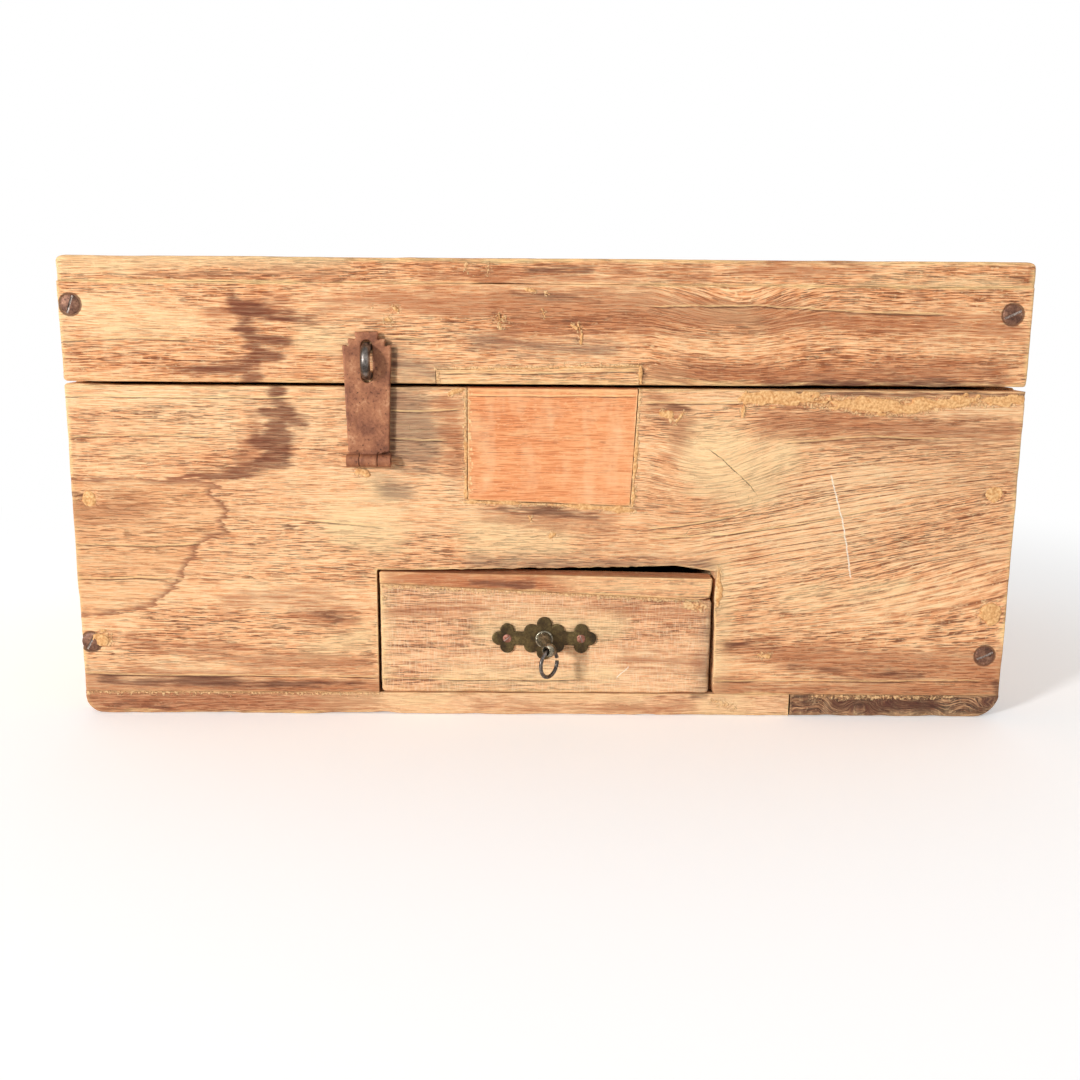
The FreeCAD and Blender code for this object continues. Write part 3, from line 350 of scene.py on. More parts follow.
def makeTeak(name, along, **changes):
    look = {**teakLook, **changes}
    material, tree, shader = newMaterial(name)
    calc, chain, fade, lumps, tint, blend = shaderTools(tree)
    spot = node(tree, "ShaderNodeTexCoord").outputs["Object"]
    axes = node(tree, "ShaderNodeSeparateXYZ", {0: spot}).outputs
    run, beside = (axes["X"], axes["Y"]) if along == "X" else (axes["Y"], axes["X"])

    def stored(key):
        return node(tree, "ShaderNodeAttribute", attribute_name=key).outputs["Fac"]

    def band(value, key, *most, **kind):
        return fade(value, *teakBands[key], *most, **kind)

    def dragged(key, drag):
        # depth in a mark whose edge the grain has drawn out
        return calc("MULTIPLY_ADD", finger, drag, stored(key))

    height = calc("ADD", axes["Z"], stored("grainBend"))
    seedRun = calc("ADD", run, look["seed"])
    pattern = {}
    for key in ("fibre", "streak", "broad", "blotch", "finger", "pore", "grit", "smear"):
        size, stretch, detail = look[key]
        pulled = calc("MULTIPLY", seedRun, 1 / stretch)
        place = node(tree, "ShaderNodeCombineXYZ", {0: pulled, 1: height, 2: beside})
        pattern[key] = lumps(place, size, detail, look["grainRoughness"])
    pattern["crisp"] = band(pattern["fibre"], "crisp")
    finger = calc("SUBTRACT", pattern["finger"], 0.5)
    tone = 0.5
    for key, share in teakTones.items():
        tone = calc("MULTIPLY_ADD", calc("SUBTRACT", pattern[key], 0.5), share * look["contrast"], tone)
    # ring lines, strongest where the saw ran across a curve of the trunk
    wander = calc("MULTIPLY", pattern["broad"], look["ringWander"])
    ringSpot = calc("MULTIPLY_ADD", height, 1 / (look["ringGap"] * mm), wander)
    ringLine = band(calc("FRACT", ringSpot), "ringLine", kind="SMOOTHSTEP")
    ring = chain("MULTIPLY", ringLine, band(pattern["streak"], "ringBreak"),
                 band(pattern["crisp"], "ringDash"))
    ring = calc("MULTIPLY", ring, calc("ADD", stored("ringShare"), look["ringBase"]), clamp=True)
    # pores, drawn about twice their real size so that they show
    poreEnd = look["poreShare"] + look["poreSoft"]
    poreLine = fade(pattern["pore"], look["poreShare"], poreEnd, 0, look["poreStrength"])
    pore = calc("MULTIPLY", poreLine, band(pattern["broad"], "poreField"))
    # rubbed edges, sandpaper smears and grit
    edgeSpot = dragged("edgeGap", teakDrags["edgeGap"])
    edge = fade(edgeSpot, look["edgeReach"], look["edgeFull"], 0, look["edgeShare"])
    edge = calc("MULTIPLY", edge, band(pattern["broad"], "edgeWorn"))
    smear = band(pattern["smear"], "smear", 0, look["smearShare"])
    grit = band(pattern["grit"], "grit")
    layers = [(ring, look["ringColour"]), (pore, look["poreColour"]), (edge, look["edgeColour"]),
              (smear, look["smearColour"]), (grit, look["gritColour"])]
    # marks with their edges drawn out along the grain
    worn = band(pattern["streak"], "markWorn")
    for key, code, strength, soft, drag in teakMarks:
        inside = fade(dragged(key, drag), -soft, soft, 0, strength, kind="SMOOTHSTEP")
        layers.append((calc("MULTIPLY", inside, worn), code))
    # the edge that dirty water left when it dried
    tideSpot = dragged("tide", teakDrags["tide"])
    tide = calc("MULTIPLY", band(tideSpot, "tideRise"), band(tideSpot, "tideFall"))
    # cracks, broken into dashes by the fibre, with a pale lip above
    crackSpot = dragged("crack", teakDrags["crack"])
    crackEnd = band(stored("crackSpan"), "crackEnd")
    crackLine = band(calc("ABSOLUTE", crackSpot), "crackLine")
    crack = chain("MULTIPLY", crackLine, band(pattern["finger"], "crackBreak"), crackEnd)
    lipLine = band(calc("ABSOLUTE", calc("SUBTRACT", crackSpot, look["lip"])), "lipLine")
    lip = calc("MULTIPLY", lipLine, crackEnd)
    # painted shade: a thin dark ring where the gap round a screw head lies in shadow
    screw = band(calc("ABSOLUTE", stored("screwGapShade")), "screwShadeLine")
    # putty: a crust of glue and sawdust
    crumbs = lumps(spot, look["crumbSize"], 4)
    puttySpot = calc("MULTIPLY_ADD", calc("SUBTRACT", crumbs, 0.5), look["crumbDrag"], stored("putty"))
    putty = band(puttySpot, "putty")
    scratchGap = calc("ABSOLUTE", dragged("scratch", teakDrags["scratch"]))
    scratchLine = band(scratchGap, "scratchLine", band(pattern["fibre"], "scratchWorn"))
    scratch = calc("MULTIPLY", scratchLine, band(stored("scratchSpan"), "scratchEnd"))
    layers += [(tide, look["tideColour"]), (crack, look["crackColour"]), (lip, look["edgeColour"]),
               (screw, look["crackColour"]), (putty, tint(crumbs, look["crust"])),
               (scratch, look["scratchColour"])]
    colour = tint(tone, look["stops"])
    for share, over in layers:
        colour = blend(share, colour, over)
    # relief: fibre stands up, pores and cracks sink, putty is gritty
    relief = 0.5
    heights = {**pattern, "pore": pore, "crack": crack, "grit": grit, "ring": ring,
               "crumbs": calc("MULTIPLY", putty, crumbs)}
    for key, share in teakRelief.items():
        relief = calc("MULTIPLY_ADD", heights[key], share, relief)
    depth = look["relief"] * mm
    gloss = band(pattern["streak"], "gloss", look["roughness"] - look["shiny"],
                 look["roughness"] + look["dull"])
    bump = node(tree, "ShaderNodeBump", {"Height": relief, "Strength": look["bump"], "Distance": depth})
    join(tree, shader, {"Base Color": colour, "Roughness": gloss, "Normal": bump})
    return material


patchLook = {  # a smoother, oranger block let in and planed flush
    "stops": ((0.22, "#f6b07a"), (0.43, "#ee9f67"), (0.60, "#df8b54"), (0.80, "#c27040")),
    "poreShare": 0.64, "poreColour": "#b06c42", "gritColour": "#f6ba86", "ringBase": 0.05, "bump": 0.3,
    "seed": 3.1, "edgeShare": 0.5, "roughness": 0.76, "smearShare": 0.3, "smear": (30, 0.4, 3),
}
lippingLook = {  # red heartwood
    "stops": ((0.26, "#fbc08c"), (0.44, "#eca772"), (0.60, "#d88d5d"), (0.78, "#a55d38")), "seed": 5.7,
    "bump": 0.4,
}
innerLook = {  # never sanded: duller, browner, dry
    "stops": ((0.28, "#d3ad84"), (0.46, "#c39a70"), (0.60, "#ad8259"), (0.78, "#8c6242")), "seed": 8.3,
    "edgeShare": 0.25, "roughness": 0.9,
}
endLook = {  # nearly black weathered stub of board under the right end
    "stops": ((0.28, "#d7a679"), (0.44, "#a2724f"), (0.56, "#6b4430"), (0.72, "#38221a")), "seed": 11.9,
    "bump": 1.0, "streak": (2.0, 38, 4), "edgeShare": 0.5, "edgeColour": "#d8a878", "ringGap": 1.7,
    "ringColour": "#2e1c14", "gritColour": "#e8c08e",
}
footLook = {  # bottom boards, browner than the walls
    "stops": ((0.26, "#fbcf9f"), (0.44, "#efb788"), (0.58, "#d3956a"), (0.76, "#8d563a")), "seed": 14.2,
}
lidLook = {  # the lid's rail and planks run redder
    "stops": ((0.25, "#ffd29d"), (0.45, "#fab883"), (0.61, "#e59a62"), (0.79, "#a15930")), "seed": 17.4,
    "contrast": 1.6,
}
drawerLook = {  # scrubbed across the grain by sandpaper
    "stops": ((0.27, "#ffd5a4"), (0.47, "#f9be8c"), (0.63, "#e6a374"), (0.80, "#b27047")), "seed": 20.6,
    "smearShare": 0.55, "smear": (7, 0.13, 3), "smearColour": "#ffe2bb", "poreShare": 0.55,
}
wood = {
    "front": makeTeak("sandedReclaimedTeak", "X"),
    "drawer": makeTeak("crossSandedTeak", "X", **drawerLook),
    "side": makeTeak("sandedReclaimedTeakSides", "Y", seed=2.2),
    "lid": makeTeak("sandedReddishTeak", "X", **lidLook),
    "lidSide": makeTeak("sandedReddishTeakSides", "Y", **lidLook),
    "patch": makeTeak("planedOrangeTeak", "X", **patchLook),
    "lipping": makeTeak("redHeartwood", "X", **lippingLook),
    "inner": makeTeak("bareDryTeak", "X", **innerLook),
    "innerSide": makeTeak("bareDryTeakSides", "Y", **innerLook),
    "stub": makeTeak("blackenedTeakStub", "X", **endLook),
    "foot": makeTeak("wornTeakFoot", "X", **footLook),
}
print("woods mixed:", len(wood))

# Boards
assembly = {}  # outer box of each moving body's woodwork, whose edges are handled and worn
for body, members in bodies.items():
    woodNodes = [name for name in members if any(word in name for word in ("board", "side", "rail", "plank"))]
    if woodNodes:
        corners = np.array([nodeBox(name) for name in woodNodes])
        assembly[body] = (corners[:, 0].min(0), corners[:, 1].max(0))
assembly["drawer"] = (nodeBox("drawer_front")[0], nodeBox("drawer_lipping")[1])


def boxSides(points, low, high):
    # how far outside each side a point lies: the three low sides, then the three high ones
    return [*(low - points).T, *(points - high).T]


def edgeDepth(sides):
    return -np.sort(np.stack(sides), 0)[-2]


# marked face: the axes across and up it, the axis through it, and whether it is on the high side
faceAxes = {"front": (0, 2, 1, False), "back": (0, 2, 1, True), "left": (1, 2, 0, False),
            "right": (1, 2, 0, True), "top": (0, 1, 2, True)}
faintest = {"red": -1.5, "grey": -3.0, "pale": -1.5}  # mm, the deepest that a faint mark gets
markNames = ("pale", "grey", "red", "stain", "dark", "putty", "tide", "tideInside", "crack", "crackSpan",
             "scratch", "scratchSpan", "screwGapShade")
boardLook = {
    "step": 5.0, "joint": 0.3, "worn": 2.4, "wave": 0.35, "grain": 0.18, "grow": 0.0,  # mm
    "outer": True, "seed": 1, "stops": ((), (), ()), "face": "front", "faint": False, "corner": None,
    "cuts": None, "dents": None, "wear": None, "top": None, "foot": None, "marks": {}, "bend": None,
    "screws": (),
}
boardWear = {
    "along": 60.0, "across": 4.0, "waveSize": 9, "waveFade": 5, "grainFade": 1.5, "leastRound": 0.2,  # mm
    "lumpSize": 21, "lumps": 0.55, "crumbSize": 6, "crumbs": 0.25, "spare": 0.8, "edgeShare": 2.4,
    "markDepth": 4, "markFade": 0.8, "lineFade": 4, "faintShare": 0.5,
}
screwRim = 6.2  # mm, radius of a painted dark ring, the shade in the gap round a screw head


def makeBoard(name, finish, source=None, **changes):
    look = {**boardLook, **changes}
    source = source or re.sub("(?=[A-Z])", "_", name).lower()  # the CAD node that it stands for
    low, high = nodeBox(source)
    high = high + (0, 0, look["grow"])
    outerLow, outerHigh = assembly[bodyOf[source]]
    outerHigh = outerHigh + (0, 0, look["grow"])
    seed = look["seed"]
    longest = int(np.argmax(high - low))
    stretch = np.where(np.arange(3) == longest, boardWear["along"], boardWear["across"])

    def sides(points):
        found = boxSides(points, low, high)
        if look["top"]:
            found[5] = points[:, 2] - np.interp(points[:, 0], (low[0], high[0]), look["top"])
        if look["foot"]:
            found[2] = np.interp(points[:, 0], (low[0], high[0]), look["foot"]) - points[:, 2]
        if look["corner"]:
            found = look["corner"](points, found)
        if look["cuts"]:
            found += look["cuts"](points)
        return found

    def distance(points):
        found = sides(points)
        inside = edgeDepth(found)  # hollows fade out at the edges, so that boards meet tightly
        radius = look["joint"] + (look["wear"](points) if look["wear"] else np.zeros(len(points)))
        shape = roundOff(found, np.maximum(radius, boardWear["leastRound"]))
        if look["outer"]:  # handling has rounded only the edges of the whole body
            ragged = 1 + boardWear["lumps"] * noise(points, boardWear["lumpSize"], seed)
            ragged += boardWear["crumbs"] * noise(points, boardWear["crumbSize"], seed + 1)
            rim = roundOff(boxSides(points, outerLow, outerHigh), look["worn"] * ragged)
            shape = np.maximum(shape, rim)
        waves = look["wave"] * lumpy(points, stretch * boardWear["waveSize"], seed + 2)
        shape += waves * np.clip(inside / boardWear["waveFade"], 0, 1)
        grain = look["grain"] * lumpy(points, stretch, seed + 3)
        shape += grain * np.clip(inside / boardWear["grainFade"], 0, 1)
        if look["dents"]:
            shape += look["dents"](points)
        return shape

    stops = [[low[axis], *sorted(look["stops"][axis]), high[axis]] for axis in range(3)]
    lines = [gridLines(stops[axis], look["step"]) for axis in range(3)]
    points, faces = carve(lines, distance, spare=boardWear["spare"])
    marks = {key: np.full(len(points), far) for key in markNames}
    outerGap = edgeDepth(boxSides(points, outerLow, outerHigh))
    marks["edgeGap"] = np.minimum(outerGap, edgeDepth(sides(points)) * boardWear["edgeShare"])
    marks["grainBend"] = np.zeros(len(points))
    marks["ringShare"] = np.zeros(len(points))
    across, up, away, outward = faceAxes[look["face"]]
    level = outerHigh[away] if outward else outerLow[away]
    behind = np.maximum(np.abs(points[:, away] - level) - boardWear["markDepth"], 0)
    inward = behind * boardWear["markFade"]  # marks on a face fade into the board
    x, z = points[:, across], points[:, up]
    for key, values in look["marks"].items():
        if key in ("crack", "scratch"):
            flat, upright = (x, z) if key == "crack" else (z, x)  # scratches run upright
            marks[key], span = crackSide(flat, upright, values)
            marks[key + "Span"] = span - inward * boardWear["lineFade"]
        elif key == "tide":
            marks["tideInside"] = outlineDepth(x, z, values) - inward
            marks["tide"] = outlineDepth(x, z, values) - inward * boardWear["lineFade"]
        else:
            marks[key] = strokeDepth(x, z, values) - inward
        if look["faint"] and key in faintest:
            marks[key] = np.minimum(marks[key] * boardWear["faintShare"], faintest[key])
    # painted shade: a thin dark ring round each screw head
    for spotX, spotZ in look["screws"]:
        rimGap = screwRim - np.hypot(x - spotX, z - spotZ) - inward
        marks["screwGapShade"] = np.maximum(marks["screwGapShade"], rimGap)
    if look["bend"]:
        shift, marks["ringShare"] = look["bend"](points)
        marks["grainBend"] = shift * mm
    makePiece(name, (points, faces), wood[finish], [source], marks)
    print("board", name, len(points))


# Front board of the chest: the drawer's opening, the let-in patch, screw dishes and the marks of its past
frontLow, frontHigh = nodeBox("base_front_board")
patchLow, patchHigh = nodeBox("front_patch")
drawerLow, drawerHigh = nodeBox("drawer_front")
drawerGap = {"head": 1.2, "side": 1.3}  # mm that the drawer clears its opening by
openingHead = nodeBox("drawer_lipping")[1][2] + drawerGap["head"]
openingLeft, openingRight = drawerLow[0] - drawerGap["side"], drawerHigh[0] + drawerGap["side"]
screwSpots = {
    "front": ((-274.1, 45.1), (268.8, 39.3), (-269.9, 132.5), (266.5, 139.1), (269.7, 65.9)),
    "lid": ((-272.8, 245.3), (268.3, 243.5)),
}
screwDish = {"reach": 7.5, "depth": 1.1}  # mm
letIn = {"leftRise": 3.2, "lean": 3.4, "gap": 0.1, "backGap": 0.2}  # mm; it narrows a little towards its foot
cornerRound = {"left": 12.0, "right": 17.0, "lid": 6.0, "lip": 3.0}  # mm, seen from the front
leftRise = 1.1  # mm that the front board stands higher at its left end
leftRun = (-278, -248)  # mm, x over which it climbs from there


frontBands = {  # y in mm: what marks the front fades in from the first and is full from the second
    "face": (-165, -170), "dish": (-160, -170), "opening": (-166, -172), "plane": (-170, -174),
    "topEdge": (-161, -175), "drawer": (-166, -171), "lipping": (-168, -172),
}


def onFront(points, band="face"):
    return risen(points[:, 1], *frontBands[band])


def patchSides(points, gap):
    # half spaces of the patch in the plane of the front, gap wider all round
    x, y, z = points.T
    foot = np.interp(x, (patchLow[0], patchHigh[0]), (patchLow[2] + letIn["leftRise"], patchLow[2]))
    lean = (patchHigh[2] - z) * (letIn["lean"] / (patchHigh[2] - patchLow[2]))
    return [patchLow[0] - gap - x, x - patchHigh[0] - gap + lean, foot - gap - z]


def dishes(points, spots):
    sunk = np.zeros(len(points))
    for x, z in spots:
        gap = np.hypot(points[:, 0] - x, points[:, 2] - z)
        sunk += screwDish["depth"] * np.clip(1 - (gap / screwDish["reach"]) ** 2, 0, 1)
    return sunk * onFront(points, "dish")


openingLook = {  # mm; lumps are (size, seed)
    "lumps": (7, 41), "lumpDepth": 0.9, "crumbs": (2.6, 42), "crumbDepth": 0.7, "chewed": (10, 90),
    "bite": 1.6, "liftRise": (20, 80), "liftFall": (103, 78), "lift": 3.2,
    "worn": 0.7, "wornLumps": (11, 43), "wornDepth": 1.1,
    "rim": 7, "rimPlace": (15, 75), "rimRound": 2.6, "rimLumps": (5, 44), "rimDepth": 1.6,
    "cheek": 5, "cheekFade": 8, "cheekRound": 1.2, "cheekLumps": (8, 45),
}


def frontCuts(points):
    # the drawer's opening, chewed along its head and worn at the right, and the recess of the patch
    x, y, z = points.T
    look = openingLook
    outside = onFront(points, "opening")
    chew = noise(points, *look["lumps"]) * look["lumpDepth"]
    chew += noise(points, *look["crumbs"]) * look["crumbDepth"]
    ragged = near(x, *look["chewed"]) * outside
    lift = risen(x, *look["liftRise"]) * risen(x, *look["liftFall"]) * look["lift"]
    lift += ragged * (look["bite"] + chew)
    rightWear = outside * np.maximum(look["worn"] + noise(points, *look["wornLumps"]) * look["wornDepth"], 0)
    opening = np.maximum(openingLeft - x, x - openingRight - rightWear)
    opening = np.maximum(opening, z - openingHead - np.maximum(lift, 0))
    recess = np.stack(patchSides(points, letIn["gap"])).max(0)
    return [-opening, -np.maximum(recess, y - patchHigh[1] - letIn["backGap"])]


def frontCorners(points, found):
    found[5] += leftRise * risen(points[:, 0], *leftRun)
    found[0] = roundOff([found[0], found[5]], cornerRound["lip"])
    found[0] = roundOff([found[0], -points[:, 2]], cornerRound["left"])
    found[3] = roundOff([found[3], -points[:, 2]], cornerRound["right"])
    return found


def mergedCorner(numbers, radius):
    # turns some of a board's sides into one rounded side
    def corner(points, found):
        merged = roundOff([found[number] for number in numbers], radius)
        return [side for number, side in enumerate(found) if number not in numbers] + [merged]
    return corner


def frontWear(points):
    x, y, z = points.T
    look = openingLook
    chewed = near(z, openingHead, look["rim"]) * near(x, *look["rimPlace"])
    cheek = near(x, openingRight, look["cheek"]) * risen(z, openingHead, openingHead - look["cheekFade"])
    chewed = chewed * (look["rimRound"] + look["rimDepth"] * noise(points, *look["rimLumps"]))
    return chewed + cheek * (look["cheekRound"] + noise(points, *look["cheekLumps"]))


frontDent = {
    "puttyBand": (-3, 2), "puttyLumps": (3, 46), "puttyDepth": 0.9,  # mm
    "hollows": ((13, 13, 5), 47), "hollowFrom": 0.45, "hollowDepth": 0.5,
}


def frontDents(points):
    x, y, z = points.T
    look = frontDent
    face = onFront(points)
    topPutty = risen(strokeDepth(x, z, frontMarks["putty"][:1]), *look["puttyBand"])
    pasted = face * topPutty * lumpy(points, *look["puttyLumps"]) * look["puttyDepth"]
    hollows = np.clip(noise(points, *look["hollows"]) - look["hollowFrom"], 0, 1)
    return dishes(points, screwSpots["front"]) + pasted + face * look["hollowDepth"] * hollows


frontGrain = {
    "slopeRise": (60, 100), "slopeLow": (22, 97), "slopeHigh": (200, 138), "slope": -0.18, "slopeFrom": 86,
    "knot": ((104, 153), (30, 22)), "knotSwell": 9, "ringRise": (62, 102), "slopeRings": 2.2,
    "knotRing": ((104, 140), (40, 30)), "knotRings": 0.5, "wander": ((150, 400, 45), 48), "wanderBy": 2.5,
}


def frontBend(points):
    # the grain slopes at the right and swells round the knot
    x, y, z = points.T
    look = frontGrain
    slopeArea = risen(x, *look["slopeRise"]) * risen(z, *look["slopeLow"]) * risen(z, *look["slopeHigh"])
    shift = look["slope"] * (x - look["slopeFrom"]) * slopeArea
    shift += look["knotSwell"] * mound(x, z, *look["knot"])
    rings = slopeArea * risen(x, *look["ringRise"]) * look["slopeRings"]
    rings += look["knotRings"] * mound(x, z, *look["knotRing"])
    return shift + look["wanderBy"] * noise(points, *look["wander"]), rings


strapRight = nodeBox("hasp_strap")[1][0]  # painted shadow: the strap's shadow on the wood along its right edge is drawn as dark strokes
frontMarks = {
    "putty": [
        [(117, 194, 2.6), (140, 194, 2.6), (166, 192.5, 3.4), (190, 190, 5), (213, 190, 4.4), (240, 193, 3),
         (278, 194.5, 2.2)],
        [(116.5, 198, 1.4), (115, 184, 1.0)],
        [(-47.2, 199, 0.5), (-47, 170, 1.0), (-46.8, 134, 0.7)],
        [(-48, 132.6, 0.7), (0, 131.2, 0.5), (30, 129.5, 0.8), (52, 128, 1.3)],
        [(54.6, 199, 0.3), (53, 160, 0.6), (51.6, 131, 1.2)],
        [(104.4, 92, 1.4), (105.4, 80, 1.3), (104.5, 66, 0.7)],
        [(68, 186, 1.6), (73, 183, 2.4)], [(76, 180, 1.0), (80, 186, 1.2)], [(-266, 47, 5)],
        [(131, 39, 1.5), (137, 38, 1.9)], [(269, 66, 6)], [(4, 113, 2.2)], [(-9, 122, 1.6)],
        [(-110, 150, 2.2), (-106, 149, 2)], [(-56, 196, 1.4), (-48, 199, 2)],
    ],
    "stain": [
        [(-157, 199, 4), (-155, 191, 4.5), (-152, 183, 6)], [(-164, 185, 3), (-150, 182, 5)],
        [(-152, 183, 5), (-157, 176, 7), (-157, 168, 9.5), (-158, 160, 8)], [(-150, 180, 5), (-142, 178, 3)],
        [(-170, 170, 3.4), (-160, 164, 6)],
        [(-160, 158, 6), (-170, 152, 4), (-186, 148, 4.2), (-206, 145, 1.8), (-228, 142, 0.4)],
    ],
    "tide": [
        (-300, 145), (-205, 146), (-190, 142), (-197, 136.7), (-192, 131.5), (-188, 125), (-192.6, 120),
        (-189, 113), (-199.5, 109), (-206, 104), (-209, 98.7), (-214.5, 92), (-217.6, 82.7), (-227, 73),
        (-237, 66), (-246, 63.9), (-262, 62), (-300, 60),
    ],
    "grey": [
        [(-100, 194, 12), (-84, 184, 19), (-78, 166, 17)], [(-92, 140, 7), (-84, 138, 5)],
        [(-42, 94.5, 2.4), (20, 96, 3), (98, 95, 3)],
    ],
    "red": [
        [(-170, 182, 2), (-170, 166, 8), (-178, 155, 5)], [(-58, 190, 7), (-52, 172, 6), (-52, 150, 4)],
        [(66, 193, 7), (80, 180, 7), (74, 160, 3)], [(130, 182, 7), (200, 175, 8), (270, 176, 6)],
        [(-34, 127, 3), (0, 123, 6), (34, 121, 5)],
        [(113, 44, 4), (150, 38, 8), (200, 32, 12), (278, 30, 13)], [(-280, 126, 9), (-236, 127, 7)],
        [(-280, 18, 10), (-190, 18, 9), (-102, 17, 7)], [(108, 17, 7), (280, 17, 8)],
        [(-150, 65, 5), (-121, 59, 6)], [(-250, 44, 3), (-180, 36, 5), (-110, 32, 4)],
        [(-190, 70, 3), (-130, 74, 4)],
    ],
    "pale": [
        [(86, 172, 11), (102, 158, 23), (121, 147, 17)], [(140, 160, 12), (120, 150, 14)],
        [(-40, 112, 10), (10, 108, 8)], [(-120, 118, 12), (-96, 112, 12)], [(-100, 140, 7), (-92, 134, 6)],
        [(-250, 160, 1), (-200, 165, 0)], [(150, 76, 3), (215, 82, 4)],
        [(105, 92, 6), (108, 60, 5), (106, 18, 5)], [(-140, 40, 6), (-108, 50, 8)],
    ],
    "dark": [
        [(118, 198.2, 0.1), (180, 197.8, 0.6), (240, 197.2, 0.4), (278, 197.6, 0.7)],
        [(260.2, 141, -0.2), (260.6, 137, 0.3)], [(70, 189.6, 0.2), (83, 188, 0.9)],
        # the last stroke on the next line is the painted shadow of the hasp strap along its right edge
        [(65, 181, 0.2), (72, 178, 0.5)], [(strapRight + 1.0, 199, 0.6), (strapRight - 0.6, 162, 0.9)],
        [(-108, 150.5, 1.2)], [(-27, 129, 2), (4, 126.5, 2.6), (30, 124, 1.6)],
        [(112, 45.6, 1.2), (141, 45.4, 0.8)], [(-144, 66, 0.6), (-124, 60.5, 1.8)],
        [(277, 22, 1.5), (279, 14, 2)], [(283, 128, 1.4), (282, 100, 0.8), (283, 62, 2.2)],
        [(-270, 21, 2.2), (-205, 20, 2.4), (-150, 19, 1.6), (-110, 19, 0.8)],
        [(150, 31, 0.8), (230, 27, 1.2)], [(-270, 134, 1.0), (-281, 136, 1)],
    ],
    "crack": [
        [(-281, 24.7), (-240, 23.7), (-190, 23.9), (-101, 23.2)],
        [(-281, 192.6), (-200, 192.3), (-117, 192.4)], [(-92, 185.4), (-72, 184.6), (-50, 186.6)],
        [(-92, 169.5), (-74, 167.8), (-58, 168.4)], [(-278, 168.6), (-235, 170.2), (-190, 169.4)],
        [(-279, 105), (-232, 104), (-205, 105.5)], [(-279, 83.4), (-245, 84.6), (-215, 83.6)],
        [(104, 21.8), (190, 22.2), (268, 22.7)], [(62, 116), (92, 120), (112, 124), (122, 129)],
        [(95.9, 164.8), (103.8, 159), (113.6, 150.1), (123.4, 141.2), (125.4, 135.9)],
        [(62, 110), (107, 113), (150, 119.5), (180, 125), (200, 130)],
        [(140, 168), (190, 172), (236, 170.6)], [(56, 190.6), (90, 190.8), (115, 191)],
        [(-160, 122), (-120, 118.4), (-96, 116)],
    ],
    "scratch": [[(88, 184), (108.7, 180), (124.3, 176.4), (139.9, 171.6), (149.5, 168.6)]],
}
makeBoard("baseFrontBoard", "front", step=2.6, worn=1.9, seed=3, grow=leftRise,
          stops=((openingLeft, openingRight, patchLow[0], patchHigh[0] - 1.5), (patchHigh[1],),
                 (openingHead, patchLow[2] + 1.6)),
          corner=frontCorners, cuts=frontCuts, wear=frontWear, dents=frontDents, marks=frontMarks,
          bend=frontBend, screws=screwSpots["front"][:2])


planeLook = {"scoops": ((16, 60, 60), 52), "scoop": 0.12, "ripples": ((4, 60, 90), 53), "ripple": 0.1}  # mm


def planeMarks(points):
    # shallow scoops that a hand plane left
    face = onFront(points, "plane")
    scoops = planeLook["scoop"] + planeLook["scoop"] * noise(points, *planeLook["scoops"])
    return face * scoops + face * planeLook["ripple"] * (1 + noise(points, *planeLook["ripples"]))


patchMarks = {
    "pale": [[(-42, 188, -3), (-34, 140, -3)], [(40, 190, -4), (46, 165, -4)],
             [(-20, 172, -4), (24, 168, -3)]],
    "crack": [[(-46, 194.6), (0, 194.4), (53, 194.8)]],
    "putty": [[(-45, 198, 0.6), (-44.5, 140, 0.8)]],
}
makeBoard("frontPatch", "patch", step=2.4, joint=0.45, worn=1.0, seed=5,
          cuts=lambda points: patchSides(points, 0), dents=planeMarks, marks=patchMarks)
print("front done")


# Rest of the base
footDent = {  # mm; pocks are (size, seed, start)
    "edge": (8, 0), "chips": ((16, 12, 9), 61, 0.1), "chipDepth": 1.4,
    "hollows": ((14, 14, 6), 62, 0.3), "hollowDepth": 0.8,
}
stubGrain = {"slope": 0.12, "curls": ((13, 60, 7), 63), "curl": 6, "rings": 0.6}


def footEdgeDents(points):
    low = risen(points[:, 2], *footDent["edge"])
    chips = low * pocks(points, *footDent["chips"]) * footDent["chipDepth"]
    return onFront(points) * (chips + pocks(points, *footDent["hollows"]) * footDent["hollowDepth"])


def stubBend(points):
    shift = stubGrain["slope"] * points[:, 0] + stubGrain["curl"] * noise(points, *stubGrain["curls"])
    return shift, np.full(len(points), stubGrain["rings"])


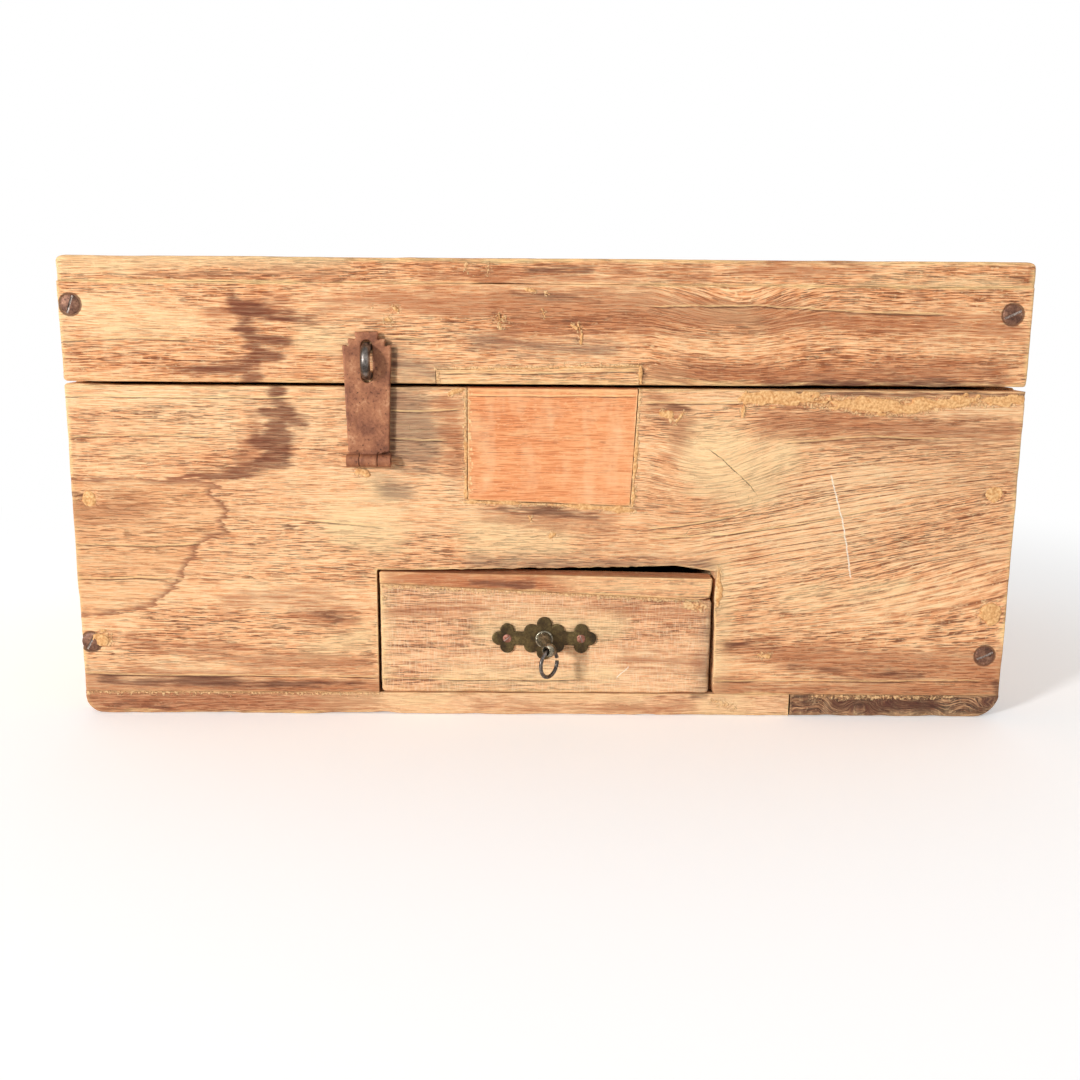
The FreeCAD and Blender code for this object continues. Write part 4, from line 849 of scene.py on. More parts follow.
sideGrow = 1.2  # mm; the side walls reach up until the lid all but rests on them
hiddenMarks = {  # the sides that the photograph doesn't show have aged like the front
    "back": {"red": [[(-280, 20, 24), (-100, 18, 16.8), (60, 17, 14.4)], [(40, 150, 28.8), (140, 140, 21.6)],
                     [(-240, 170, 21.6), (-150, 176, 14.4)]],
             "stain": [[(-60, 199, 5), (-54, 180, 7), (-62, 166, 4)], [(-64, 172, 3), (-92, 168, 1)]],
             "grey": [[(110, 190, 28.8), (150, 176, 24)], [(-180, 60, 24), (-120, 54, 19.2)],
                      [(200, 30, 21.6), (270, 26, 16.8)]],
             "pale": [[(-30, 110, 28.8), (60, 96, 24)], [(180, 110, 21.6), (230, 104, 19.2)]],
             "crack": [[(-280, 128), (-190, 126), (-90, 127.5)], [(60, 74), (160, 76), (279, 75)],
                       [(-40, 40), (60, 42)]],
             "putty": [[(-200, 140, 3)], [(30, 60, 2.4), (44, 59, 1.4)]]},
    "left": {"red": [[(-160, 20, 21.6), (-40, 18, 19.2), (150, 18, 21.6)],
                     [(-40, 150, 26.4), (60, 142, 16.8)]],
             "grey": [[(-150, 170, 21.6), (-120, 150, 19.2)], [(90, 60, 24), (140, 52, 19.2)]],
             "stain": [[(40, 199, 4), (44, 184, 6), (38, 172, 3)]],
             "pale": [[(-60, 90, 28.8), (10, 84, 24)], [(110, 150, 19.2), (150, 144, 19.2)]],
             "crack": [[(-150, 110), (-60, 112), (40, 111)], [(10, 58), (90, 56.5), (160, 57)]]},
    "right": {"red": [[(-160, 22, 24), (20, 20, 19.2), (150, 18, 16.8)], [(60, 160, 24), (140, 150, 19.2)]],
              "grey": [[(-150, 120, 24), (-100, 96, 21.6)], [(20, 60, 19.2), (70, 54, 16.8)]],
              "pale": [[(-30, 150, 28.8), (30, 140, 24)], [(-120, 60, 19.2), (-80, 56, 19.2)]],
              "crack": [[(-160, 84), (-70, 86), (10, 85)], [(30, 128), (110, 126.5), (160, 127)]]},
    "top": {"red": [[(-260, -120, 33.6), (-120, -112, 24), (20, -118, 28.8)],
                    [(120, 90, 33.6), (240, 96, 24)], [(-150, 60, 21.6), (-40, 66, 19.2)]],
            "stain": [[(-130, -40, 3), (-96, -38, 7), (-60, -42, 4)],
                      [(150, -70, 2), (190, -66, 5), (214, -68, 2)]],
            "grey": [[(-60, 120, 38.4), (60, 126, 28.8)], [(190, 10, 28.8), (250, 4, 24)],
                     [(-240, 20, 24), (-190, 26, 19.2)]],
            "pale": [[(-30, -60, 38.4), (60, -52, 33.6)], [(-240, 110, 24), (-180, 116, 21.6)],
                     [(120, -130, 19.2), (220, -128, 19.2)]],
            "crack": [[(-270, -86), (-150, -88), (-20, -86)], [(60, 40), (170, 42), (270, 41)],
                      [(-180, 140), (-60, 138)]],
            "putty": [[(90, -20, 3), (98, -21, 2)], [(-200, -20, 2.6)]],
            "tide": [(-20, 20), (30, 34), (80, 26), (104, -4), (90, -36), (50, -50), (4, -44), (-24, -16)]},
}
footMarks = {
    "red": [[(-280, 9, 11), (-200, 8, 9), (-104, 7, 5)], [(-40, 5, 1), (90, 5, 2)]],
    "pale": [[(-130, 9, 3), (-60, 9, 4)], [(0, 11, 2), (60, 11, 2)], [(100, 6, 6), (120, 6, 5)]],
    "putty": [[(-280, 13.4, 0.7), (-180, 13.6, 0.5), (-100, 13.6, 0.7)], [(104, 10, 1.6), (116, 5, 1.8)]],
    "dark": [[(92, 12.5, 1.6), (100, 12.5, 1.2)], [(-262, 6, 0.8), (-230, 4, 0.6)]],
}
stubMarks = {
    "putty": [[(165, 12.8, 1.0), (215, 12.6, 1.2), (250, 12.8, 0.6)]],
    "pale": [[(215, 3, -3), (262, 4, -3)]],
    "dark": [[(160, 13, 1.2), (165, 12.6, 0.6)], [(178, 7, 3), (240, 8, 4)], [(272, 9, 4), (279, 14, 3)]],
}
makeBoard("baseBackBoard", "front", seed=11, face="back", step=3.6, faint=True, marks=hiddenMarks["back"])
for side, seed in (("left", 13), ("right", 15)):
    makeBoard("base%sSide" % side.title(), "side", seed=seed, grow=sideGrow, face=side, step=3.6, faint=True,
              marks=hiddenMarks[side])
makeBoard("bottomBoardMain", "foot", seed=17, worn=1.8, corner=mergedCorner((0, 2), cornerRound["left"]),
          dents=footEdgeDents, step=2.8, marks=footMarks)
makeBoard("bottomBoardEnd", "stub", seed=19, worn=2.0, corner=mergedCorner((2, 3), cornerRound["right"]),
          dents=footEdgeDents, step=3, bend=stubBend, marks=stubMarks)
for side in ("left", "right"):
    makeBoard("drawerGuide" + side.title(), "innerSide", seed=21)
makeBoard("drawerCoverBoard", "innerSide", seed=23, step=6)

# Lid
stripLow, stripHigh = nodeBox("lid_edge_patch")
stripRise = 2.6  # mm that the let-in strip is taller at its right end


def stripSides(points, gap):
    x, y, z = points.T
    head = np.interp(x, (stripLow[0], stripHigh[0]), (stripHigh[2] - stripRise, stripHigh[2]))
    return [stripLow[0] - gap - x, x - stripHigh[0] - gap, z - head - gap]


def railCuts(points):
    recess = np.stack(stripSides(points, letIn["gap"])).max(0)
    return [-np.maximum(recess, points[:, 1] - stripHigh[1] - letIn["backGap"])]


def railCorners(points, found):
    found[0] = roundOff([found[0], found[2]], cornerRound["lip"])
    return found


railScars = [[(-28, 240, 3)], [(18.5, 235, 1.4), (20.5, 226, 0.8)], [(-87.4, 245, 2.6)], [(56.5, 210, 2.4)]]


railDent = {  # mm
    "scarBand": (-1.5, 1.5), "scar": 1.1, "scarLumps": (2.2, 66), "scarDepth": 0.5,
    "lowEdge": (207.6, 201.6), "chipRun": (120, 160), "chips": ((12, 8, 4), 67, -0.5), "chipDepth": 1.3,
}
railGrain = {
    "slope": 0.10, "slopeFrom": 150, "slopeRise": (60, 120), "slopeFall": (190, 130),
    "knot": ((112, 246), (34, 12)), "knotSwell": 9, "wander": ((140, 400, 30), 68), "wanderBy": 2.0,
    "rings": 0.55, "ringRise": (40, 100),
}


def railDents(points):
    x, y, z = points.T
    look = railDent
    face = onFront(points)
    scars = risen(strokeDepth(x, z, railScars), *look["scarBand"])
    scars = scars * (look["scar"] + look["scarDepth"] * noise(points, *look["scarLumps"]))
    lowEdge = risen(z, *look["lowEdge"]) * risen(x, *look["chipRun"])
    chips = face * lowEdge * pocks(points, *look["chips"]) * look["chipDepth"]
    return dishes(points, screwSpots["lid"]) + face * scars + chips


def railBend(points):
    x, y, z = points.T
    look = railGrain
    slope = look["slope"] * (x - look["slopeFrom"])
    slope = slope * risen(x, *look["slopeRise"]) * risen(x, *look["slopeFall"])
    shift = look["knotSwell"] * mound(x, z, *look["knot"]) - slope
    shift += look["wanderBy"] * noise(points, *look["wander"])
    return shift, look["rings"] * risen(x, *look["ringRise"])


railMarks = {
    "stain": [
        [(-181, 251, 2.8), (-176, 244, 4.2), (-159, 241, 3.6), (-122, 236.6, 1.0)],
        [(-174, 234, 4.6), (-170, 226, 5), (-150, 224, 2.6)], [(-166, 219, 4), (-156, 217, 3)],
        [(-172, 211, 5), (-190, 209, 3.4), (-226, 207, 1.0)], [(-168, 206, 4.4), (-173, 202, 4.4)],
        [(-175, 246, 2.4), (-170, 232, 2.6), (-167, 218, 3), (-168, 206, 4)],
    ],
    "red": [
        [(-128, 247, 4), (-60, 248, 8), (7, 244, 14), (80, 243, 11), (160, 240, 6), (268, 236, 5)],
        [(66, 209, 5), (150, 209, 7), (262, 212, 7)], [(-20, 232, 5), (30, 238, 6)],
        [(-190, 240, 4), (-150, 246, 5)],
    ],
    # the first stroke is the painted shadow of the hasp strap along its right edge
    "dark": [[(strapRight + 1.2, 222, 0.4), (strapRight + 1.2, 203, 0.8)],
             [(-29, 241, 1.4), (-26, 239, 1)],
             [(126, 202, 0.8), (170, 203.4, 1.2), (200, 203, 1.7), (236, 204, 2.2), (264, 202.4, 0.8)],
             [(12, 228.6, 0.6), (18, 227.8, 0.8)], [(10, 238, 0.8), (36, 238.5, 1.0)],
             [(55.6, 209.6, 1.2), (55, 203, 0.9)], [(-20, 252.6, 0.8), (30, 250, 1)]],
    "putty": [
        [(-31, 238, 0.7), (-24, 239.5, 0.9)], [(-27.5, 241.5, 0.6), (-26.5, 233, 0.5)],
        [(-24, 236, 0.7), (-20, 237.4, 0.4)], [(14, 236, 0.6), (17, 234, 0.9)],
        [(17.5, 238, 0.5), (20, 231, 0.8)], [(20.4, 231, 0.5), (19.8, 225.5, 0.6)],
        [(-87.4, 245, 1.8), (-86, 244, 1.6)], [(-101, 245, 1.2)], [(-12, 255.6, 0.5), (-7, 254.6, 0.7)],
        [(-1, 254, 0.5), (2, 252.4, 0.6)], [(-3, 245, 0.8), (-1, 240, 0.5)],
        [(-64, 209.8, 0.5), (-6, 211, 0.5), (54, 212.8, 0.6)], [(54.8, 202, 0.8), (54.6, 212, 0.8)],
        [(-92, 238, 1.6), (-88, 237, 1)],
    ],
    "grey": [[(-94, 222, 6), (-84, 212, 7), (-62, 206, 4)], [(150, 204, 1.5), (230, 204, 1.5)],
             [(-40, 226, 4), (40, 222, 3)]],
    "pale": [[(-250, 232, 3), (-205, 236, 2)], [(-140, 228, 5), (-112, 226, 6)],
             [(100, 244, 5), (118, 240, 4)], [(62, 205, 3), (76, 207, 3)]],
    "crack": [[(-281, 224), (-240, 226), (-206, 225)], [(-92, 227.6), (-70, 226.4)],
              [(60, 246), (120, 247), (180, 243.5), (230, 243)]],
}
makeBoard("lidFrontRail", "lid", step=2.6, worn=1.9, seed=31,
          stops=((stripLow[0], stripHigh[0]), (stripHigh[1],), (stripHigh[2] - stripRise / 2,)),
          corner=railCorners, cuts=railCuts, dents=railDents, marks=railMarks, bend=railBend,
          screws=screwSpots["lid"])
stripMarks = {
    "pale": [[(-60, 205, -3), (50, 206, -2)]],
    "grey": [[(-40, 206, -5), (-24, 206, -5)]],
    "crack": [[(-62, 207.6), (-20, 207.4), (20, 208.4), (53, 209.4)]],
    "putty": [[(-63, 203, 1), (-63, 208, 1)]],
}
makeBoard("lidEdgeStrip", "lid", "lid_edge_patch", step=2.4, joint=0.45, worn=1.0, seed=33,
          cuts=lambda points: stripSides(points, 0), marks=stripMarks)


topDent = {"chips": ((30, 8, 8), 71, 0.25), "depth": 0.9}  # mm


def topDents(points):
    return pocks(points, *topDent["chips"]) * topDent["depth"] * onFront(points, "topEdge")


topEdgeMarks = {
    "dark": [[(-12, 266.4, 0.8), (25, 266.6, 1.8)], [(158, 270.5, 0.6), (176, 269.5, 0.8)]],
    "red": [[(-70, 262, 3), (30, 264, 4), (90, 263, 4)], [(110, 268, 3), (180, 268, 4)],
            [(-230, 262, 2), (-120, 262, 2)]],
    "putty": [[(-46, 269, 1.8), (-44, 264, 1.2)], [(-33, 270, 1.2), (-33, 263, 0.8)]],
    "pale": [[(-279, 268, 4), (-120, 270, 3)], [(180, 261, 1), (270, 261, 2)]],
}
lidBackMarks = {
    "red": [[(-200, 240, 8), (-60, 236, 9)], [(90, 215, 6), (240, 220, 8)]],
    "grey": [[(-20, 225, 8), (60, 232, 6)]],
    "stain": [[(-66, 254, 2), (-58, 236, 5), (-60, 214, 4), (-60, 203, 5)]],
    "crack": [[(-270, 226), (-160, 228), (-90, 226.5)], [(120, 240), (230, 238)]],
}
lidSideMarks = {
    "red": [[(-150, 236, 7), (-20, 232, 9)], [(60, 216, 6), (150, 220, 7)]],
    "grey": [[(10, 244, 6), (70, 240, 5)]],
    "stain": [[(44, 203, 4), (46, 214, 4), (40, 222, 2)]],
    "crack": [[(-140, 222), (-40, 224), (30, 222.5)]],
}
makeBoard("lidTopFrontPlank", "lid", step=4, worn=3.0, seed=35,
          corner=mergedCorner((0, 3, 5), cornerRound["lid"]), dents=topDents, marks=topEdgeMarks)
makeBoard("lidTopBackPlank", "lid", step=3.6, worn=3.0, seed=37, face="top", faint=True,
          marks=hiddenMarks["top"])
makeBoard("lidBackRail", "lid", seed=39, face="back", faint=True, marks=lidBackMarks)
for side, seed in (("left", 41), ("right", 43)):
    makeBoard("lidSide" + side.title(), "lidSide", "lid_%s_rail" % side, seed=seed, face=side, faint=True,
              marks=lidSideMarks)
print("lid done")

# Drawer
drawerHeads = (82.4, 73.0)  # foot of the lipping at the left and right end, mm
lippingHeads = (89.8, 86.4)  # and its head


drawerEdge = {"reach": 9, "round": 2.4, "lumps": (9, 81), "depth": 1.4}  # mm, worn right end
drawerGrain = {"wander": ((120, 300, 40), 82), "wanderBy": 3, "rings": 0.1}
lippingSplit = {  # mm
    "place": 84.5, "sway": 2.6, "swayFrom": 74, "swayLength": 3.4, "width": 1.0, "depth": 0.8,
    "chipRun": (92, 100), "chipHead": (80, 74), "chipDepth": 1.2,
}


def drawerWear(points):
    rightEnd = risen(points[:, 0], drawerHigh[0] - drawerEdge["reach"], drawerHigh[0])
    worn = drawerEdge["round"] + drawerEdge["depth"] * noise(points, *drawerEdge["lumps"])
    return rightEnd * onFront(points, "drawer") * worn


def drawerBend(points):
    shift = drawerGrain["wanderBy"] * noise(points, *drawerGrain["wander"])
    return shift, np.full(len(points), drawerGrain["rings"])


def lippingDents(points):
    # a split-off end: the corner has broken away along a curve
    x, y, z = points.T
    look = lippingSplit
    rift = x - look["place"] - look["sway"] * np.sin((z - look["swayFrom"]) / look["swayLength"])
    chip = risen(x, *look["chipRun"]) * risen(z, *look["chipHead"])
    split = look["depth"] * near(rift, 0, look["width"])
    return onFront(points, "lipping") * (split + look["chipDepth"] * chip)


drawerMarks = {
    "pale": [[(-97, 72, 2), (-96, 26, 2.4)], [(-36, 54, 7), (40, 56, 9)], [(-60, 24, 5), (40, 26, 5)]],
    "grey": [[(101, 64, 5), (100, 24, 6.5)]],
    "putty": [[(-97, 81, 1.2), (0, 77.2, 1.0), (84, 73.4, 1.2)], [(86, 70, 2.6), (95, 69, 2.8)],
              [(-97, 74, 1)]],
    "red": [[(30, 70, 2), (90, 66, 4)], [(-90, 66, 3), (-40, 70, 3)], [(50, 36, 3), (92, 34, 4)]],
    "crack": [[(-99, 22.6), (-40, 21.8), (30, 22.4)]],
    "scratch": [[(24, 44), (31, 52)]],
}
lippingMarks = {
    "red": [[(-92, 86, 6), (-40, 84, 9), (-6, 82, 7), (12, 81, 2)]],
    "dark": [[(-44, 83, 0.8), (-20, 81.6, 2.4), (-8, 81, 3.2)],
             [(89, 85, -0.6), (86, 79, -0.5), (81, 75.6, -0.2)]],
    "pale": [[(6, 84, 2), (40, 82, 3), (96, 80, 3)], [(-97, 87, 2), (-92, 86, 2)]],
    "crack": [[(80, 74.8), (88, 75.2), (101, 75)]],
}
makeBoard("drawerFront", "drawer", step=2.6, joint=0.7, worn=2.2, seed=51, top=drawerHeads, wear=drawerWear,
          marks=drawerMarks, bend=drawerBend)
makeBoard("drawerLipping", "lipping", step=2.2, joint=0.7, worn=2.0, seed=53, top=lippingHeads,
          foot=drawerHeads, dents=lippingDents, marks=lippingMarks)
for side, seed in (("left", 55), ("right", 57)):
    makeBoard("drawerSide" + side.title(), "innerSide", "drawer_%s_side" % side, seed=seed, joint=0.8,
              outer=False)
makeBoard("drawerBack", "inner", seed=59, joint=0.8, outer=False)
makeBoard("drawerBottom", "innerSide", seed=61, joint=0.6, outer=False, step=6)
print("drawer done")


# Metals and putty
metalLook = {
    "cloudDetail": 6, "cloudRoughness": 0.68, "speckDetail": 3, "speckRoughness": 0.6, "speckShare": 0.35,
    "speckMiddle": 0.175, "pitBand": (0.38, 0.30), "glossBand": (0.3, 0.7), "pitDepth": -0.8, "relief": 0.35,
}


def makeMetal(name, look):
    look = {**metalLook, **look}
    material, tree, shader = newMaterial(name)
    calc, chain, fade, lumps, tint, blend = shaderTools(tree)
    spot = node(tree, "ShaderNodeTexCoord").outputs["Object"]
    cloud = lumps(spot, look["cloud"], look["cloudDetail"], look["cloudRoughness"])
    speck = lumps(spot, look["speck"], look["speckDetail"], look["speckRoughness"])
    mixed = calc("MULTIPLY_ADD", speck, look["speckShare"], cloud)
    pits = fade(speck, *look["pitBand"], 0, look["pits"])
    colour = blend(pits, tint(calc("SUBTRACT", mixed, look["speckMiddle"]), look["stops"]), look["pitColour"])
    gloss = fade(cloud, *look["glossBand"], *look["roughness"])
    height = calc("MULTIPLY_ADD", pits, look["pitDepth"], cloud)
    depth = look["relief"] * mm
    bump = node(tree, "ShaderNodeBump", {"Height": height, "Strength": look["bump"], "Distance": depth})
    finish = {"Base Color": colour, "Roughness": gloss, "Metallic": look["metallic"], "Normal": bump}
    join(tree, shader, finish)
    return material


metal = {
    "strap": makeMetal("rustyIronStrap", {  # mild steel under even rust, rubbed to a dull coppery shine
        "cloud": 13, "speck": 1.7,
        "stops": ((0.26, "#643722"), (0.44, "#8c563a"), (0.58, "#a96f4c"), (0.76, "#d0a079")), "pits": 0.9,
        "pitColour": "#3d2217", "roughness": (0.42, 0.68), "metallic": 0.3, "bump": 0.7}),
    "screw": makeMetal("rustyScrewIron", {  # slotted heads, brown rust with a little bright metal
        "cloud": 4, "speck": 1.1,
        "stops": ((0.30, "#452d22"), (0.46, "#6b4736"), (0.60, "#8b634c"), (0.76, "#b7967f")), "pits": 0.6,
        "pitColour": "#2c1c16", "roughness": (0.4, 0.65), "metallic": 0.5, "bump": 0.5}),
    "slot": makeMetal("slotPaintedHighlightSteel", {  # slot walls drawn bright: a painted highlight where the slot catches light
        "cloud": 2, "speck": 0.9,
        "stops": ((0.30, "#5f4c42"), (0.46, "#8b7a6f"), (0.60, "#b8aaa0"), (0.76, "#dcd3cb")), "pits": 0.3,
        "pitColour": "#4a352b", "roughness": (0.35, 0.5), "metallic": 0.6, "bump": 0.3}),
    "steel": makeMetal("polishedWornSteel", {  # staple and ring wire, dark and shiny from the lock's rubbing
        "cloud": 6, "speck": 1.0,
        "stops": ((0.30, "#3a3532"), (0.46, "#5d5651"), (0.60, "#857d77"), (0.76, "#a9a19b")), "pits": 0.5,
        "pitColour": "#35241c", "roughness": (0.26, 0.46), "metallic": 0.95, "bump": 0.25}),
    "brass": makeMetal("tarnishedBrass", {  # sheet brass gone olive brown
        "cloud": 7, "speck": 1.2,
        "stops": ((0.30, "#32271a"), (0.46, "#4b3b22"), (0.60, "#605030"), (0.78, "#8f7a4c")), "pits": 0.35,
        "pitColour": "#2c2414", "roughness": (0.36, 0.56), "metallic": 0.7, "bump": 0.3}),
    "post": makeMetal("rubbedBrass", {  # the knob end, kept brighter by fingers
        "cloud": 4, "speck": 1.0,
        "stops": ((0.30, "#464036"), (0.46, "#6e6757"), (0.60, "#9b937f"), (0.76, "#cfc7b2")), "pits": 0.3,
        "pitColour": "#3a3020", "roughness": (0.26, 0.45), "metallic": 0.85, "bump": 0.3}),
    "copper": makeMetal("redBrassScrews", {  # small copper-red heads
        "cloud": 3, "speck": 0.9,
        "stops": ((0.30, "#5c352a"), (0.46, "#8f5c4b"), (0.60, "#b07a67"), (0.76, "#d3a594")), "pits": 0.4,
        "pitColour": "#3c211a", "roughness": (0.35, 0.55), "metallic": 0.7, "bump": 0.3}),
}


def makePutty(name):
    # glue and sawdust, dry, crumbly, yellow
    look = {"grain": 1.5, "stops": ((0.28, "#c0854f"), (0.46, "#dda469"), (0.64, "#f0c288")),
            "roughness": 0.92, "bump": 0.32, "relief": 0.6}
    material, tree, shader = newMaterial(name)
    calc, chain, fade, lumps, tint, blend = shaderTools(tree)
    grain = lumps(node(tree, "ShaderNodeTexCoord").outputs["Object"], look["grain"], 4)
    depth = look["relief"] * mm
    bump = node(tree, "ShaderNodeBump", {"Height": grain, "Strength": look["bump"], "Distance": depth})
    finish = {"Base Color": tint(grain, look["stops"]), "Roughness": look["roughness"], "Normal": bump}
    join(tree, shader, finish)
    return material


puttyMaterial = makePutty("sawdustPutty")


# Where the separate solids of one CAD node stand
def islands(name):
    mesh = frame["nodes"][name].data
    spots = np.array([vertex.co for vertex in mesh.vertices]) / mm
    keys = {}
    parent = []

    def root(item):
        while parent[item] != item:
            parent[item] = parent[parent[item]]
            item = parent[item]
        return item

    number = []
    for spot in spots:
        key = tuple(np.round(spot, 2))
        if key not in keys:
            keys[key] = len(parent)
            parent.append(len(parent))
        number.append(keys[key])
    for polygon in mesh.polygons:
        first = root(number[polygon.vertices[0]])
        for vertex in polygon.vertices[1:]:
            parent[root(number[vertex])] = first
    groups = {}
    for vertex, spot in enumerate(spots):
        groups.setdefault(root(number[vertex]), []).append(spot)
    return [np.array(group) for group in groups.values()]


def heads(name):
    # each fastener's head: the middle of its outer face, the way it faces and its radius
    found = []
    for group in islands(name):
        low, high = group.min(0), group.max(0)
        axis = int(np.argmax(high - low))
        middle = (low + high) / 2
        across = np.delete(group - middle, axis, 1)
        width = np.hypot(*across.T)
        ends = []
        for sign, level in ((-1, low[axis]), (1, high[axis])):
            close = np.abs(group[:, axis] - level) < 0.6
            ends.append((width[close].max(), sign, level))
        radius, sign, level = max(ends)
        facing = np.zeros(3)
        facing[axis] = sign
        middle[axis] = level
        found.append((middle, facing, radius))
    return sorted(found, key=lambda head: tuple(np.round(head[0], 2)))


# Screw and nail heads: Geometry Nodes set a slightly domed head on every spot, slotted on the screws
headLook = {"dome": 0.22, "slotWidth": 0.22, "slotDepth": 0.26, "proud": 0.12}  # shares of the head's radius
headInputs = (("Geometry", "Geometry"), ("Dome height", "Float"), ("Slot width", "Float"),
              ("Slot depth", "Float"), ("Metal", "Material"), ("Slot metal", "Material"))


def headTree(slotted):
    tree = bpy.data.node_groups.new("slottedHeads" if slotted else "nailHeads", "GeometryNodeTree")
    for label, kind in headInputs:
        tree.interface.new_socket(label, in_out="INPUT", socket_type="NodeSocket" + kind)
    tree.interface.new_socket("Geometry", in_out="OUTPUT", socket_type="NodeSocketGeometry")
    given = node(tree, "NodeGroupInput").outputs

    def stored(name, kind):
        return node(tree, "GeometryNodeInputNamedAttribute", {"Name": name}, data_type=kind)

    # unit head: a flattened ball, scaled by each spot's radius
    ball = node(tree, "GeometryNodeMeshUVSphere", {"Segments": 28, "Rings": 14, "Radius": 1.0})
    flat = node(tree, "ShaderNodeCombineXYZ", {0: 1.0, 1: 1.0, 2: given["Dome height"]})
    head = node(tree, "GeometryNodeTransform", {"Geometry": ball, "Scale": flat})
    if slotted:
        size = node(tree, "ShaderNodeCombineXYZ", {0: 3.0, 1: given["Slot width"], 2: given["Slot depth"]})
        block = node(tree, "GeometryNodeMeshCube", {"Size": size})
        bar = node(tree, "GeometryNodeStoreNamedAttribute",
                   {"Geometry": block, "Name": "slotFace", "Value": True}, data_type="BOOLEAN", domain="FACE")
        lift = node(tree, "ShaderNodeCombineXYZ", {2: given["Dome height"]})
        lifted = node(tree, "GeometryNodeTransform", {"Geometry": bar, "Translation": lift})
        head = node(tree, "GeometryNodeMeshBoolean", {0: head, 1: lifted}, operation="DIFFERENCE",
                    solver="EXACT")
    upright = node(tree, "FunctionNodeAlignRotationToVector", {"Vector": stored("facing", "FLOAT_VECTOR")},
                   axis="Z")
    spin = node(tree, "FunctionNodeAxisAngleToRotation",
                {"Axis": (0, 0, 1), "Angle": stored("turn", "FLOAT")})
    turned = node(tree, "FunctionNodeRotateRotation", {0: upright, 1: spin}, rotation_space="LOCAL")
    placed = node(tree, "GeometryNodeInstanceOnPoints", {
        "Points": given["Geometry"], "Instance": head, "Rotation": turned,
        "Scale": stored("headRadius", "FLOAT")})
    real = node(tree, "GeometryNodeRealizeInstances", {0: placed})
    coated = node(tree, "GeometryNodeSetMaterial", {"Geometry": real, "Material": given["Metal"]})
    # the slot faces take the bright steel, a painted highlight
    slots = {"Geometry": coated, "Selection": stored("slotFace", "BOOLEAN"), "Material": given["Slot metal"]}
    node(tree, "NodeGroupOutput", {0: node(tree, "GeometryNodeSetMaterial", slots)})
    return tree


trees = {slotted: headTree(slotted) for slotted in (True, False)}


def cornerRise(spot, facing):
    # how far the rounded lower corners lift the wood above a head that faces the floor, mm
    if facing[2] > -0.5:
        return 0.0
    rises = []
    for side, inset in (("left", spot[0] - frontLow[0]), ("right", frontHigh[0] - spot[0])):
        inward = max(cornerRound[side] - inset, 0)
        rises.append(cornerRound[side] - math.sqrt(cornerRound[side] ** 2 - inward ** 2))
    return max(rises)


def setHeads(name, nodes, finish, slotted, turns, sink=0.0):
    spots, facings, radii = [], [], []
    for source in nodes:
        for middle, facing, radius in heads(source):
            lift = radius * (headLook["proud"] - headLook["dome"]) - sink - cornerRise(middle, facing)
            spots.append((middle + facing * lift) * mm)
            facings.append(facing)
            radii.append(radius * mm)
    angles = [math.radians(turns[number % len(turns)]) for number in range(len(spots))]
    mesh = bpy.data.meshes.new(name + "Spots")
    mesh.from_pydata([tuple(spot) for spot in spots], [], [])
    for key, kind, field, values in (("facing", "FLOAT_VECTOR", "vector", facings),
                                     ("headRadius", "FLOAT", "value", radii),
                                     ("turn", "FLOAT", "value", angles)):
        mesh.attributes.new(key, kind, "POINT").data.foreach_set(field, np.ravel(values).astype(np.float32))
    holder = bpy.data.objects.new(name + "Spots", mesh)
    bpy.context.scene.collection.objects.link(holder)
    modifier = holder.modifiers.new("heads", "NODES")
    modifier.node_group = trees[slotted]
    values = {"Dome height": headLook["dome"], "Slot width": headLook["slotWidth"],
              "Slot depth": headLook["slotDepth"], "Metal": metal[finish], "Slot metal": metal["slot"]}
    for item in trees[slotted].interface.items_tree:
        if item.in_out == "INPUT" and item.name in values:
            modifier[item.identifier] = values[item.name]
    made = bpy.data.meshes.new_from_object(holder.evaluated_get(bpy.context.evaluated_depsgraph_get()))
    made.name = name
    bpy.data.objects.remove(holder)
    placePiece(name, made, nodes)
    print("heads", name, len(spots))


nailSink = 0.6  # mm that the nails under the chest are driven in
setHeads("baseCaseScrews", ["base_front_screws", "base_back_screws"], "screw", True,
         (60, 25, 110, 70, 15, 140))
setHeads("filledScrews", ["filled_front_screws"], "screw", True, (40, 80, 10))
setHeads("hingeScrewsBase", ["hinge_base_screws", "hasp_leaf_screws"], "screw", True, (20, 75, 130))
setHeads("baseNails", ["bottom_nails", "cover_nails"], "screw", False, (0,), nailSink)
setHeads("lidCaseScrews", ["lid_front_screws", "lid_back_screws"], "screw", True, (70, 25, 50, 110))
setHeads("hingeScrewsLid", ["hinge_lid_screws"], "screw", True, (35, 95, 10, 150))
setHeads("lidNails", ["lid_top_nails"], "screw", False, (0,))
setHeads("drawerNails", ["drawer_nails"], "screw", False, (0,))
setHeads("pullScrews", ["pull_screws"], "copper", True, (40, 110))


# Putty over three of the screws: rough plugs
plugLook = {
    "core": 0.86, "lumps": 0.34, "crumbs": 0.1,  # shares of the radius
    "lumpSize": 4.5, "crumbSize": 1.8, "sunk": 0.2, "rough": 0.8, "roughSize": 2.1, "back": 0.5,  # mm
    "edge": 0.5, "cells": (0.6, 0.5, 0.6), "under": (1, 0, 1), "over": (1.5, 1.2, 1.5), "seed": 90,
}


